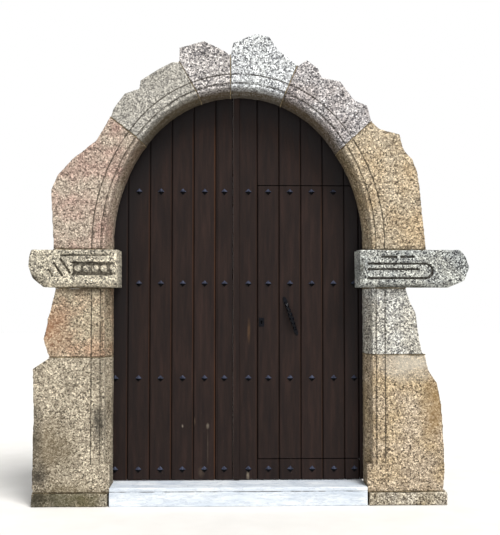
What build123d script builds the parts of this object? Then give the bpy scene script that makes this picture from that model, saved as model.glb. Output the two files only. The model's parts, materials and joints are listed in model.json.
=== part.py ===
"""Arched double door of ledged planks, with a wicket, in its frame of dressed granite.

X runs right, Y into the wall and Z up. The origin is on the ground, in the middle of
the opening, on the face of the stones. All sizes are in millimetres.
"""

import os
from math import atan2, cos, degrees, hypot, radians, sin

from build123d import *

os.makedirs("parts", exist_ok=True)

# Opening between the jambs
opening_half = 940.0
springing = 1910.0
measured_half = 940.0  # the stones' places were measured round an opening of this half width
measured_springing = 1910.0  # and this springing height
flank_shift = 342.0  # each flank's centre lies this far beyond the middle
crown_lift = 288.0  # the crown's centre lies this far above the springing

# Stones of the frame
stone_depth = 206.0
footing_top = 95.0
footing_proud = 20.0
footing_bevel = 8.0
joint_gap = 6.0
joint_reach = 250.0  # each joint is drawn this far into the opening, then cut away
mortar_recess = 7.0
impost_drop = 45.0  # top of the imposts, below the springing
impost_height = 280.0
impost_proud = 60.0
impost_inset = 58.0  # reach of each impost into the opening
impost_bevel = 30.0

# Moulding along the arch and jambs
moulding_foot = 296.0
hollow_width = 42.0
hollow_depth = 110.0
hollow_sag = 12.0
roll_width = 26.0
roll_drop = 8.0
roll_side = 8.0
roll_set = 1.0
band_width = 55.0
groove_width = 10.0
groove_depth = 13.0

# Marble step
step_front = 26.0
step_behind = 28.0  # the tread reaches this far behind the foot bolts
step_top = 136.0
tread_thickness = 30.0
tread_round = 4.0
riser_thickness = 20.0
riser_joint = 17.0
riser_joint_gap = 2.0

# Leaves
stud_clearance = 4.0  # the studs pass this far behind the stones
leaf_bottom = 142.0
leaf_lap = 80.0  # how far the leaves run behind the stones
plank_thickness = 32.0
plank_share = 0.1766  # a plank's width as a share of half the opening
tongue_reach = 9.0
tongue_thickness = 8.0
plank_gap = 3.0
plank_bevel = 6.0
strip_bevel = 4.0
bead_groove = 5.0
bead_offset = 16.0
meeting_line = -38.0
meeting_gap = 8.0
left_seam = -174.0  # joint nearest the meeting line on the left leaf
strip_width = 49.0
strip_proud = 12.0
strip_clearance = 1.0  # between the strip and the left leaf's edge
meeting_slant = 6.0  # the left leaf's edge falls back by this, so that the strip can pass
strip_head_gap = 8.0

# Rails and stiles on the back
ledge_thickness = 40.0
ledge_height = 150.0
ledge_bevel = 6.0
ledge_end_gap = 3.0
lath_lap = 12.0  # the laths on the wicket's back reach this far past its edges
lath_width = 22.0
lath_thickness = 10.0
rail_seat = 1.5
head_rail_inset = 70.0
head_rail_foot = 2502.0
stile_left_gap = 1.0

# Wicket in the right leaf
wicket_left_line = 143.0
wicket_inset = 22.5  # the hanging line of the wicket, inside the jamb
wicket_bottom_line = 296.0
wicket_top_line = 2370.0
wicket_gap = 7.0

# Studs
stud_rows = (220.0, 904.0, 1621.0, 2321.0)
stud_radius = 24.5
stud_height = 16.0
stud_slope = 15.5
stud_rim = 2.0
edge_stud_inset = 38.0
wicket_top_ledge = 2290.0
wicket_top_ledge_height = 120.0

# Strap hinges and pintles
pin_radius = 9.0
pin_clearance = 0.08
pin_rise = 12.0
eye_wall = 6.5
eye_lift = 0.5
eye_overlap = 1.0
eye_sides = 12  # the rolled eye keeps the flats of the hammer
strap_thickness = 7.0
strap_width = 45.0
strap_point = 40.0
strap_reach = 700.0
short_reach = 96.0
strap_rise = 25.0
wicket_strap_reach = 520.0
wicket_strap_drop = 20.0
hinge_outset = 14.0
seat_gap = 0.3
tail_bite = 60.0
tail_side = 20.0
right_strap_rows = (1262.0, 1960.0)
lug_height = 20.0
plate_height = 60.0
plate_width = 36.0

# Bolts
bolt_side = 16.0
bolt_clearance = 0.4
bolt_nose = 3.0
bolt_stand = 14.0  # middle of a bolt bar behind the boards
guide_width = 36.0
guide_depth = 28.0
guide_thickness = 14.0
knob_radius = 6.5
knob_sides = 8
knob_length = 38.0
foot_bolt_rest = 146.0
foot_bolt_length = 334.0
foot_bolt_knob = 274.0
foot_guide_rows = (168.0, 272.0)
left_foot_bolt_x = -110.0
right_foot_bolt_x = 50.0
socket_side = 22.0
cross_bolt_row = 904.0
cross_bolt_start = -28.0
cross_bolt_length = 158.0
cross_bolt_knob = 113.0
cross_guides = (0.0, 110.0)
cross_keeper = -83.0

# Lock and key plate
key_x = 175.0
key_z = 1333.0
keyhole_radius = 7.0
keyhole_slot = 8.0
keyhole_drop = 20.0
plate_size = (40.0, 66.0)
key_plate_thickness = 3.0
lock_block = 180.0
case_size = (130.0, 115.0)
case_depth = 34.0
case_inset = 2.0
case_drop = 50.0
case_bevel = 3.0
key_depth = 13.0
lock_bolt_rise = 38.0
lock_bolt_size = (100.0, 14.0, 28.0)
lock_bolt_proud = 2.0
keeper_size = (42.0, 50.0)
keeper_inset = 3.0
keeper_clearance = 1.5

# Pull handle
handle_x = 395.5
handle_z = 1374.5
handle_lean = 19.4
handle_length = 316.0
handle_plate = (70.0, 30.0)
handle_plate_thickness = 5.0
grip_span = 226.0
grip_stand = 40.0
grip_side = 20.0

# Values that follow from the sizes above
flank_radius = opening_half + flank_shift
step_half = opening_half - seat_gap
impost_top = springing - impost_drop
impost_low = impost_top - impost_height
crown_radius = flank_radius - hypot(flank_shift, crown_lift)
crown_centre = springing + crown_lift
turn = degrees(atan2(crown_lift, flank_shift))
leaf_front = stone_depth + stud_height + stud_clearance
plank_back = leaf_front + plank_thickness
ledge_back = plank_back + ledge_thickness
leaf_half = opening_half + leaf_lap
left_leaf_edge = meeting_line - meeting_gap / 2
right_leaf_edge = meeting_line + meeting_gap / 2
eye_bore = pin_radius + pin_clearance
eye_outer = eye_bore + eye_wall
hinge_y = ledge_back + eye_lift + eye_outer
hinge_x = leaf_half + hinge_outset
plank_pitch = plank_share * opening_half
wicket_right_line = opening_half - wicket_inset
wicket_left = wicket_left_line + wicket_gap / 2
wicket_right = wicket_right_line - wicket_gap / 2
wicket_bottom = wicket_bottom_line + wicket_gap / 2
wicket_top = wicket_top_line - wicket_gap / 2
wicket_hinge_x = wicket_right + eye_outer + eye_lift
bar_y = ledge_back + bolt_stand
step_back = bar_y + step_behind
bar_hole = bolt_side + 2 * bolt_clearance
tail_drop = strap_width / 2 + seat_gap + tail_side / 2


def front(depth):
    """The upright drawing plane at a depth behind the face of the stones."""
    return Plane.XZ.offset(-depth)


def arch_face(outward, bottom):
    """The opening's outline moved outward, as a flat face to draw with."""
    half = opening_half + outward
    sweep_over = 180 - 2 * turn
    with BuildSketch() as face:
        with BuildLine():
            Line((-half, springing), (-half, bottom))
            Line((-half, bottom), (half, bottom))
            Line((half, bottom), (half, springing))
            CenterArc((-flank_shift, springing), flank_radius + outward, 0, turn)
            CenterArc((0, crown_centre), crown_radius + outward, turn, sweep_over)
            CenterArc((flank_shift, springing), flank_radius + outward, 180 - turn, turn)
        make_face()
    return face.sketch


def moulding_section(edge):
    """What is cut from the stones, by distance outward from an edge, and depth."""
    roll_start = edge + hollow_width
    roll_end = roll_start + roll_width
    band_start = roll_end + groove_width
    outer_groove = band_start + band_width
    ahead = -roll_drop
    with BuildSketch() as section:
        with BuildLine():
            Polyline(
                (edge, hollow_depth),
                (edge + hollow_width / 2 + hollow_sag, (hollow_depth + roll_drop) / 2),
                (roll_start, roll_drop),
                (roll_start + roll_side, roll_set),
                (roll_end - roll_side, roll_set),
                (roll_end, roll_drop),
                (roll_end + groove_width / 2, groove_depth),
                (band_start, 0),
                (band_start, ahead),
                (edge - hollow_width, ahead),
                (edge - hollow_width, hollow_depth),
                close=True,
            )
        make_face()
        with BuildLine():
            Polyline(
                (outer_groove, ahead),
                (outer_groove, 0),
                (outer_groove + groove_width / 2, groove_depth),
                (outer_groove + groove_width, 0),
                (outer_groove + groove_width, ahead),
                close=True,
            )
        make_face()
    return section.sketch


def mortar_section(edge):
    """A plain bevel just behind the moulding, for the mortar's ends."""
    with BuildSketch() as section:
        with BuildLine():
            Polyline(
                (edge - hollow_width, 0),
                (edge + hollow_width + roll_width, 0),
                (edge + hollow_width + roll_width, groove_depth),
                (edge + hollow_sag, hollow_depth),
                (edge - hollow_width, hollow_depth),
                close=True,
            )
        make_face()
    return section.sketch


def radial_plane(centre_x, centre_z, angle):
    """A plane through an arc's centre, drawn outward along the radius and into the wall."""
    outward = (cos(radians(angle)), 0, sin(radians(angle)))
    onward = (-sin(radians(angle)), 0, cos(radians(angle)))
    return Plane(origin=(centre_x, 0, centre_z), x_dir=outward, z_dir=onward)


def turned(section, centre_x, centre_z, radius, start, arc):
    """What a section cuts as it turns about the centre of one arc of the opening."""
    with BuildPart() as stretch:
        with BuildSketch(radial_plane(centre_x, centre_z, start)):
            add(section(radius))
        revolve(axis=Axis((centre_x, 0, centre_z), (0, -1, 0)), revolution_arc=arc)
    return stretch.part


def clear_passage(section):
    """The clear way through the stones, with a section carried round its edge."""
    with BuildPart() as jamb_run:
        with BuildSketch(Plane.XY.offset(moulding_foot)):
            add(section(opening_half))
        extrude(amount=springing - moulding_foot)
    with BuildPart() as passage:
        with BuildSketch(front(-stone_depth)):
            add(arch_face(0, 0))
        extrude(amount=-3 * stone_depth)
        add(jamb_run.part)
        add(mirror(jamb_run.part, about=Plane.YZ, mode=Mode.PRIVATE))
        add(turned(section, -flank_shift, springing, flank_radius, 0, turn))
        add(turned(section, 0, crown_centre, crown_radius, turn, 180 - 2 * turn))
        add(turned(section, flank_shift, springing, flank_radius, 180 - turn, turn))
    return passage.part


clear_way = clear_passage(moulding_section)
mortar_way = clear_passage(mortar_section)

# Rows at which the pintles carry the leaves
left_rows = [row + strap_rise for row in stud_rows[:3]]
right_rows = [stud_rows[0] + strap_rise, *right_strap_rows]

with BuildPart() as tail_holes:
    for side, rows in ((-1, left_rows), (1, right_rows)):
        for row in rows:
            with BuildSketch(front(stone_depth - tail_bite - seat_gap)):
                with Locations((side * hinge_x, row - tail_drop)):
                    Rectangle(tail_side + 2 * seat_gap, tail_side + 2 * seat_gap)
            extrude(amount=-2 * tail_bite)


def on_wall(x, z):
    """A place measured on the real wall, carried along when the opening is resized."""
    widening = opening_half - measured_half
    side = 1 if x > 0 else -1
    if z < measured_springing:
        return (x + side * widening, z * springing / measured_springing)
    over_flank = degrees(atan2(z - measured_springing, abs(x) + flank_shift)) < turn
    centre = Vector(-side * flank_shift, measured_springing)
    if not over_flank:
        centre = Vector(0, measured_springing + crown_lift)
    outward = Vector(x, z) - centre
    place = centre + outward + outward.normalized() * widening
    return (place.X, place.Y + springing - measured_springing)


def joint(inner, outer):
    """Both faces of a mortar joint, clockwise side first, each from inside out."""
    start = Vector(*inner)
    end = Vector(*outer)
    along = (end - start).normalized()
    across = Vector(-along.Y, along.X) * (joint_gap / 2)
    start = start - along * joint_reach
    return [[start - across, end - across], [start + across, end + across]]


# Joints of the frame, from the right jamb's foot over the crown to the left foot
def level_joint(side, row, reach):
    """A level joint from the opening's edge outward; side is 1 on the right, -1 on the left."""
    return joint((side * opening_half, row), (side * (opening_half + reach), row))


spring_row = impost_top + joint_gap / 2
foot_right = level_joint(1, footing_top, 560)
middle_right = joint(on_wall(measured_half, 1093), on_wall(1377, 1093))
neck_right = level_joint(1, impost_low, 297)
spring_right = level_joint(1, spring_row, 450)
haunch_low_right = joint(on_wall(784, 2638), on_wall(990, 2825))
key_right = joint(on_wall(344, 3030), on_wall(436, 3240))
key_left = joint(on_wall(-61, 3030), on_wall(-61, 3319))
crown_joint = joint(on_wall(-293, 3004), on_wall(-443, 3266))
haunch_low_left = joint(on_wall(-665, 2625), on_wall(-952, 2850))
spring_left = level_joint(-1, spring_row, 421)
neck_left = level_joint(-1, impost_low, 405)
middle_left = joint(on_wall(-measured_half, 1078), on_wall(-1388, 1078))
foot_left = level_joint(-1, footing_top, 560)


def frame_stone(name, below, rim, above):
    """A dressed stone between two joints, with its rough rim given anticlockwise."""
    with BuildPart() as stone:
        with BuildSketch(front(0)):
            with BuildLine():
                outline = [on_wall(*place) for place in rim]
                Polyline(*below[1], *outline, above[0][1], above[0][0], close=True)
            make_face()
        extrude(amount=-stone_depth)
        add(clear_way, mode=Mode.SUBTRACT)
        add(tail_holes.part, mode=Mode.SUBTRACT)
    stone.part.label = name
    export_step(stone.part, f"parts/{name}.step")


frame_stone(
    "jamb_right_lower",
    foot_right,
    [(1506, 137), (1517, 243), (1506, 567), (1496, 728), (1464, 890), (1400, 985)],
    middle_right,
)
frame_stone(
    "jamb_right_upper",
    middle_right,
    [(1355, 1110), (1334, 1213), (1312, 1397), (1262, 1500)],
    neck_right,
)
frame_stone(
    "springer_right",
    spring_right,
    [(1349, 2299), (1331, 2431), (1293, 2542), (1228, 2617), (1199, 2731), (1049, 2768)],
    haunch_low_right,
)
frame_stone(
    "haunch_right",
    haunch_low_right,
    [(956, 2946), (861, 2983), (758, 3124), (619, 3152), (589, 3227), (506, 3283)],
    key_right,
)
frame_stone(
    "keystone",
    key_right,
    [(344, 3320), (292, 3358), (226, 3457), (122, 3477), (-40, 3411)],
    key_left,
)
frame_stone(
    "crown_left",
    key_left,
    [(-180, 3385), (-259, 3424), (-440, 3371)],
    crown_joint,
)
frame_stone(
    "haunch_left",
    crown_joint,
    [(-506, 3261), (-609, 3200), (-730, 3125), (-740, 3060), (-847, 3026), (-932, 2910)],
    haunch_low_left,
)
frame_stone(
    "springer_left",
    haunch_low_left,
    [(-1057, 2673), (-1226, 2541), (-1337, 2416), (-1384, 2306), (-1373, 2122)],
    spring_left,
)
frame_stone(
    "jamb_left_upper",
    neck_left,
    [(-1378, 1431), (-1432, 1213), (-1400, 1110)],
    middle_left,
)
frame_stone(
    "jamb_left_lower",
    middle_left,
    [(-1507, 997), (-1498, 674), (-1502, 457), (-1507, 133)],
    foot_left,
)

# Mortar in the joints, set back from the face
with BuildPart() as mortar_joints:
    for low_side, high_side in (
        foot_right,
        middle_right,
        neck_right,
        spring_right,
        haunch_low_right,
        key_right,
        key_left,
        crown_joint,
        haunch_low_left,
        spring_left,
        neck_left,
        middle_left,
        foot_left,
    ):
        with BuildSketch(front(mortar_recess)):
            with BuildLine():
                Polyline(*low_side, *reversed(high_side), close=True)
            make_face()
        extrude(amount=mortar_recess - stone_depth)
    add(mortar_way, mode=Mode.SUBTRACT)
mortar_joints.part.label = "mortar_joints"
export_step(mortar_joints.part, "parts/mortar_joints.step")

# Footings under the jambs: one slab on the left, two on the right
with BuildPart() as footings:
    slab_height = footing_top - joint_gap / 2
    with BuildSketch(front(-footing_proud)):
        for side, inner, width in ((-1, 12, 552), (1, 12, 340), (1, 360, 226)):
            with Locations((side * (opening_half + inner + width / 2), slab_height / 2)):
                Rectangle(width, slab_height)
    extrude(amount=-footing_proud - stone_depth)
    chamfer(footings.edges().filter_by(Axis.X).group_by(Axis.Y)[0].group_by(Axis.Z)[-1], footing_bevel)
footings.part.label = "footings"
export_step(footings.part, "parts/footings.step")


def impost_block(rim):
    """An impost that stands proud of the wall, with its underside bevelled."""
    bevel_low = impost_low + joint_gap / 2
    with BuildPart() as block:
        with BuildSketch(front(-impost_proud)):
            with BuildLine():
                Polyline(*rim, close=True)
            make_face()
        extrude(amount=-impost_proud - stone_depth)
        with BuildSketch(Plane.YZ):
            with BuildLine():
                Polyline(
                    (-impost_proud, bevel_low),
                    (0, bevel_low),
                    (-impost_proud, bevel_low + impost_bevel),
                    close=True,
                )
            make_face()
        extrude(amount=2 * leaf_half, both=True, mode=Mode.SUBTRACT)
        add(tail_holes.part, mode=Mode.SUBTRACT)
    return block.part


carving_width = 14.0
carving_depth = 12.0
bead_radius = 28.0
bead_bevel = 9.0
bead_pitch = 64.0
bead_count = 5
first_bead = 35.0
bead_row = 140.0
impost_seat = joint_gap / 2


def on_impost(side, along, height):
    """A place on an impost: how far out from its inner end, and above its foot."""
    return (side * (opening_half - impost_inset + along), impost_low + height)


with BuildPart() as bead:
    with BuildSketch(front(0)):
        RegularPolygon(bead_radius, 8)
    extrude(amount=carving_depth)
    chamfer(bead.faces().sort_by(Axis.Y)[0].edges(), bead_bevel)

# Left impost: two long grooves, a row of beads and slanting strokes
left_rim = [
    (0, impost_seat),
    (0, impost_height),
    (629, impost_height),
    (644, 221),
    (649, 155),
    (618, 70),
    (546, impost_seat),
]
with BuildPart() as impost_left:
    add(impost_block([on_impost(-1, *place) for place in left_rim]))
    with BuildSketch(front(-impost_proud)):
        for start, end in (
            ((418, 238), (50, 238)),
            ((333, 183), (0, 183)),
            ((333, 97), (0, 97)),
            ((418, 215), (343, 105)),
            ((463, 180), (398, 85)),
            ((503, 135), (468, 83)),
        ):
            with BuildLine() as stroke:
                Line(on_impost(-1, *start), on_impost(-1, *end))
            trace(stroke.line, line_width=carving_width)
    extrude(amount=-carving_depth, mode=Mode.SUBTRACT)
    bead_middle = first_bead + bead_pitch * (bead_count - 1) / 2
    with BuildSketch(front(-impost_proud)):
        with Locations(on_impost(-1, bead_middle, bead_row)):
            Rectangle(bead_pitch * bead_count, 2 * bead_radius + 2 * carving_width)
    extrude(amount=-carving_depth, mode=Mode.SUBTRACT)
    for place in range(bead_count):
        bead_x, bead_z = on_impost(-1, first_bead + place * bead_pitch, bead_row)
        with Locations((bead_x, carving_depth - impost_proud, bead_z)):
            add(bead.part)
impost_left.part.label = "impost_left"
export_step(impost_left.part, "parts/impost_left.step")

# Right impost: a broken line above a long tongue with a round end
tongue_start = 60.0
tongue_high = 177.0
tongue_low = 71.0
tongue_turn = 483.0
tongue_radius = (tongue_high - tongue_low) / 2
right_rim = [
    (0, impost_seat),
    (670, impost_seat),
    (775, 55),
    (812, 150),
    (790, 225),
    (745, impost_height),
    (0, impost_height),
]
with BuildPart() as impost_right:
    add(impost_block([on_impost(1, *place) for place in right_rim]))
    with BuildSketch(front(-impost_proud)):
        for start, end in (
            ((160, 227), (278, 227)),
            ((303, 227), (408, 227)),
            ((tongue_start, 137), (tongue_turn - 40, 137)),
        ):
            with BuildLine() as stroke:
                Line(on_impost(1, *start), on_impost(1, *end))
            trace(stroke.line, line_width=carving_width)
        with BuildLine() as tongue:
            Line(on_impost(1, tongue_start, tongue_high), on_impost(1, tongue_turn, tongue_high))
            CenterArc(on_impost(1, tongue_turn, tongue_low + tongue_radius), tongue_radius, 90, -180)
            Line(on_impost(1, tongue_turn, tongue_low), on_impost(1, tongue_start, tongue_low))
        trace(tongue.line, line_width=carving_width)
    extrude(amount=-carving_depth, mode=Mode.SUBTRACT)
impost_right.part.label = "impost_right"
export_step(impost_right.part, "parts/impost_right.step")

# Marble step: a bed, a riser in two lengths and the tread
bed_front = riser_thickness - step_front
tread_low = step_top - tread_thickness
with BuildPart() as step_bed:
    with BuildSketch(front(bed_front)):
        with Locations((0, tread_low / 2)):
            Rectangle(2 * step_half, tread_low)
    extrude(amount=bed_front - step_back)
step_bed.part.label = "step_bed"
export_step(step_bed.part, "parts/step_bed.step")

riser_split_left = riser_joint - riser_joint_gap / 2
riser_split_right = riser_joint + riser_joint_gap / 2
with BuildPart() as step_riser:
    with BuildSketch(front(-step_front)):
        for start, end in ((-step_half, riser_split_left), (riser_split_right, step_half)):
            with Locations(((start + end) / 2, tread_low / 2)):
                Rectangle(end - start, tread_low)
    extrude(amount=-riser_thickness)
step_riser.part.label = "step_riser"
export_step(step_riser.part, "parts/step_riser.step")

with BuildPart() as step_tread:
    with BuildSketch(Plane.XY.offset(tread_low)):
        with Locations((0, (step_back - step_front) / 2)):
            Rectangle(2 * step_half, step_back + step_front)
        with Locations((left_foot_bolt_x, bar_y), (right_foot_bolt_x, bar_y)):
            Rectangle(socket_side, socket_side, mode=Mode.SUBTRACT)
    extrude(amount=tread_thickness)
    fillet(step_tread.edges().filter_by(Axis.X).group_by(Axis.Y)[0].group_by(Axis.Z)[-1], tread_round)
step_tread.part.label = "step_tread"
export_step(step_tread.part, "parts/step_tread.step")

leaf_outline = arch_face(leaf_lap, leaf_bottom)
strip_outline = arch_face(-strip_head_gap, leaf_bottom)
rail_outline = arch_face(-head_rail_inset, leaf_bottom)
stile_outline = arch_face(-head_rail_inset - stile_left_gap, leaf_bottom)


def board_face(left, right, low, high):
    """A board's outline, cut where it meets the arch."""
    with BuildSketch() as face:
        add(leaf_outline)
        with Locations(((left + right) / 2, (low + high) / 2)):
            Rectangle(right - left, high - low, mode=Mode.INTERSECT)
    return face.sketch


def edge_run(left, right, low, high, thickness):
    """A strip in the middle of a plank's thickness, for its tongue or its groove."""
    with BuildPart() as run:
        with BuildSketch(front(leaf_front + (plank_thickness - thickness) / 2)):
            add(board_face(left, right, low, high))
        extrude(amount=-thickness)
    return run.part


def plank(left, right, low, high, tongue=True, grooves=None):
    """One front plank, its long edges bevelled, with a tongue on its left edge.

    Its right edge is grooved for the next tongue, all the way unless told where.
    """
    groove_depth = tongue_reach - plank_gap + seat_gap
    with BuildPart() as board:
        with BuildSketch(front(leaf_front)):
            add(board_face(left + plank_gap / 2, right - plank_gap / 2, low, high))
        extrude(amount=-plank_thickness)
        seams = board.edges().filter_by(Axis.Z).group_by(Axis.Y)[0]
        chamfer([edge for edge in seams if abs(edge.center().X) < leaf_half - plank_gap], plank_bevel)
        if tongue:
            root = left + plank_gap / 2
            add(edge_run(root - tongue_reach, root + tongue_reach, low, high, tongue_thickness))
        for start, end in [(low, high)] if grooves is None else grooves:
            brim = right - plank_gap / 2
            slot_thickness = tongue_thickness + 2 * seat_gap
            slot_run = edge_run(brim - groove_depth, brim + groove_depth, start, end, slot_thickness)
            add(slot_run, mode=Mode.SUBTRACT)
    return board


arch_top = crown_centre + crown_radius + leaf_lap
planks_left = 5
left_seams = [left_seam - plank_pitch * count for count in reversed(range(planks_left))]
left_edges = [plank_gap / -2 - leaf_half, *left_seams, left_leaf_edge + plank_gap / 2]

for count, (left, right) in enumerate(zip(left_edges, left_edges[1:]), 1):
    last = count == planks_left + 1
    with BuildPart() as left_board:
        add(plank(left, right, leaf_bottom, arch_top, count > 1, [] if last else None).part)
        if last:
            with BuildSketch(front(leaf_front)):
                with Locations((left + bead_offset, (leaf_bottom + arch_top) / 2)):
                    Rectangle(bead_groove, arch_top - leaf_bottom)
            extrude(amount=-bead_groove, mode=Mode.SUBTRACT)
            with BuildSketch(Plane.XY.offset(leaf_bottom)):
                with BuildLine():
                    Polyline(
                        (left_leaf_edge, leaf_front + plank_bevel),
                        (left_leaf_edge + meeting_slant, plank_back),
                        (left_leaf_edge - meeting_slant, plank_back),
                        close=True,
                    )
                make_face()
            extrude(amount=arch_top - leaf_bottom, mode=Mode.SUBTRACT)
    left_board.part.label = f"left_plank_{count}"
    export_step(left_board.part, f"parts/left_plank_{count}.step")

wicket_head = wicket_top_line + wicket_gap / 2
wicket_foot = wicket_bottom_line - wicket_gap / 2
right_board = plank(
    right_leaf_edge - plank_gap / 2,
    wicket_left_line,
    leaf_bottom,
    arch_top,
    tongue=False,
    grooves=[(leaf_bottom, wicket_foot), (wicket_head, arch_top)],
)
right_board.part.label = "right_plank"
export_step(right_board.part, "parts/right_plank.step")

# Cover strip on the right leaf's meeting edge
strip_left = left_leaf_edge + strip_clearance
with BuildPart() as cover_strip:
    with BuildSketch(front(leaf_front - strip_proud)):
        add(strip_outline)
        with Locations((strip_left + strip_width / 2, springing)):
            Rectangle(strip_width, 2 * springing, mode=Mode.INTERSECT)
    extrude(amount=-strip_proud)
    strip_edges = cover_strip.edges().filter_by(Axis.Z).group_by(Axis.Y)[0]
    chamfer(strip_edges, strip_bevel)
cover_strip.part.label = "cover_strip"
export_step(cover_strip.part, "parts/cover_strip.step")

wicket_seams = [wicket_left_line + plank_pitch * count for count in range(1, 5)]
upper_edges = [wicket_left_line, *wicket_seams, wicket_right_line, leaf_half + plank_gap / 2]
wicket_edges = [wicket_left - plank_gap / 2, *wicket_seams, wicket_right + plank_gap / 2]

# Short planks of the right leaf above and below the wicket
with BuildPart() as right_upper_planks:
    for left, right in zip(upper_edges[:-1], upper_edges[1:-1]):
        grooves = None if right < wicket_right_line else []
        add(plank(left, right, wicket_head, arch_top, True, grooves).part)
right_upper_planks.part.label = "right_upper_planks"
export_step(right_upper_planks.part, "parts/right_upper_planks.step")

with BuildPart() as right_foot_planks:
    for left, right in zip(upper_edges[:-1], upper_edges[1:-1]):
        grooves = None if right < wicket_right_line else []
        add(plank(left, right, leaf_bottom, wicket_foot, True, grooves).part)
right_foot_planks.part.label = "right_foot_planks"
export_step(right_foot_planks.part, "parts/right_foot_planks.step")

edge_left = wicket_right_line + wicket_gap / 2 - plank_gap / 2
edge_board = plank(edge_left, upper_edges[-1], leaf_bottom, arch_top, tongue=False, grooves=[])
edge_board.part.label = "right_edge_plank"
export_step(edge_board.part, "parts/right_edge_plank.step")


def keyhole(depth, length):
    """The keyhole's round eye and slot, cut back from a depth."""
    with BuildPart() as hole:
        with BuildSketch(front(depth)):
            with Locations((key_x, key_z)):
                Circle(keyhole_radius)
            with Locations((key_x, key_z - keyhole_drop / 2)):
                Rectangle(keyhole_slot, keyhole_drop)
        extrude(amount=-length)
    return hole.part


for count, (left, right) in enumerate(zip(wicket_edges, wicket_edges[1:]), 1):
    with BuildPart() as wicket_board:
        grooves = None if right < wicket_right else []
        add(plank(left, right, wicket_bottom, wicket_top, count > 1, grooves).part)
        if left < key_x < right:
            add(keyhole(leaf_front, plank_thickness), mode=Mode.SUBTRACT)
    wicket_board.part.label = f"wicket_plank_{count}"
    export_step(wicket_board.part, f"parts/wicket_plank_{count}.step")


def rail(left, right, low, high, outline=leaf_outline):
    """A ledge, rail or stile on the back of the planks, with its far edges bevelled."""
    with BuildPart() as timber:
        with BuildSketch(front(plank_back)):
            add(outline)
            with Locations(((left + right) / 2, (low + high) / 2)):
                Rectangle(right - left, high - low, mode=Mode.INTERSECT)
        extrude(amount=-ledge_thickness)
        direction = Axis.X if right - left > high - low else Axis.Z
        chamfer_edges = timber.edges().filter_by(direction).group_by(Axis.Y)[-1]
        chamfer([edge for edge in chamfer_edges if abs(edge.center().X) < leaf_half - ledge_end_gap], ledge_bevel)
    return timber


half_ledge = ledge_height / 2
ledge_end = left_leaf_edge - meeting_slant - ledge_end_gap
with BuildPart() as left_ledges:
    for row in stud_rows:
        add(rail(-leaf_half, ledge_end, row - half_ledge, row + half_ledge).part)
left_ledges.part.label = "left_ledges"
export_step(left_ledges.part, "parts/left_ledges.step")


def head_rail(left, right):
    """The curved rail under the arch, on the back of one leaf."""
    with BuildPart() as timber:
        with BuildSketch(front(plank_back)):
            add(leaf_outline)
            add(rail_outline, mode=Mode.SUBTRACT)
            with Locations(((left + right) / 2, (head_rail_foot + arch_top) / 2)):
                Rectangle(right - left, arch_top - head_rail_foot, mode=Mode.INTERSECT)
        extrude(amount=-ledge_thickness)
    return timber


left_head_rail = head_rail(-leaf_half, ledge_end)
left_head_rail.part.label = "left_head_rail"
export_step(left_head_rail.part, "parts/left_head_rail.step")

stile_left = right_leaf_edge + stile_left_gap
right_head_rail = head_rail(stile_left, leaf_half)
right_head_rail.part.label = "right_head_rail"
export_step(right_head_rail.part, "parts/right_head_rail.step")

rail_low = stud_rows[0] - half_ledge
rail_high = wicket_bottom - lath_lap - wicket_gap
stile_right = wicket_left - lath_lap - wicket_gap
hanging_left = wicket_right + lath_lap + wicket_gap / 2
header_low = wicket_top + lath_lap + wicket_gap
header_high = head_rail_foot - seat_gap
right_meeting_stile = rail(stile_left, stile_right, rail_low, arch_top, stile_outline)
right_meeting_stile.part.label = "right_meeting_stile"
export_step(right_meeting_stile.part, "parts/right_meeting_stile.step")

right_bottom_rail = rail(stile_right + rail_seat, leaf_half, rail_low, rail_high)
right_bottom_rail.part.label = "right_bottom_rail"
export_step(right_bottom_rail.part, "parts/right_bottom_rail.step")

right_header_rail = rail(stile_right + rail_seat, leaf_half, header_low, header_high)
right_header_rail.part.label = "right_header_rail"
export_step(right_header_rail.part, "parts/right_header_rail.step")

right_hanging_stile = rail(hanging_left, leaf_half, rail_high + rail_seat, header_low - rail_seat)
right_hanging_stile.part.label = "right_hanging_stile"
export_step(right_hanging_stile.part, "parts/right_hanging_stile.step")

# Ledges of the wicket, one behind each row of studs, and the laths that close its gaps
inner_left = wicket_left - lath_lap + lath_width
inner_right = wicket_right + lath_lap - lath_width
lath_bottom = wicket_bottom - lath_lap
lath_top = wicket_top + lath_lap
with BuildPart() as wicket_ledges:
    for row, height in (
        (stud_rows[1], ledge_height),
        (stud_rows[2], ledge_height),
        (wicket_top_ledge, wicket_top_ledge_height),
    ):
        add(
            rail(
                inner_left + seat_gap,
                inner_right - seat_gap,
                row - height / 2,
                row + height / 2,
            ).part
        )
    with BuildSketch(front(plank_back)):
        for left in (wicket_left - lath_lap, inner_right):
            with Locations((left + lath_width / 2, (lath_bottom + lath_top) / 2)):
                Rectangle(lath_width, lath_top - lath_bottom)
        for low in (lath_bottom, lath_top - lath_width):
            with Locations(((inner_left + inner_right) / 2, low + lath_width / 2)):
                Rectangle(inner_right - inner_left - 2 * seat_gap, lath_width)
    extrude(amount=-lath_thickness)
wicket_ledges.part.label = "wicket_ledges"
export_step(wicket_ledges.part, "parts/wicket_ledges.step")


def stud_group(places):
    """Four-sided stud heads on the front of the planks."""
    with BuildPart() as stud:
        with BuildSketch(front(0)):
            RegularPolygon(stud_radius, 4)
        extrude(amount=stud_height)
        stud_face = stud.faces().sort_by(Axis.Y)[0]
        chamfer(stud_face.edges(), stud_slope, stud_height - stud_rim, reference=stud_face)
    with BuildPart() as studs:
        with Locations(*[(x, leaf_front, row) for x, row in places]):
            add(stud.part)
    return studs


def middles(edges):
    """The middle of each plank between its joints."""
    return [(left + right) / 2 for left, right in zip(edges, edges[1:])]


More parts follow.
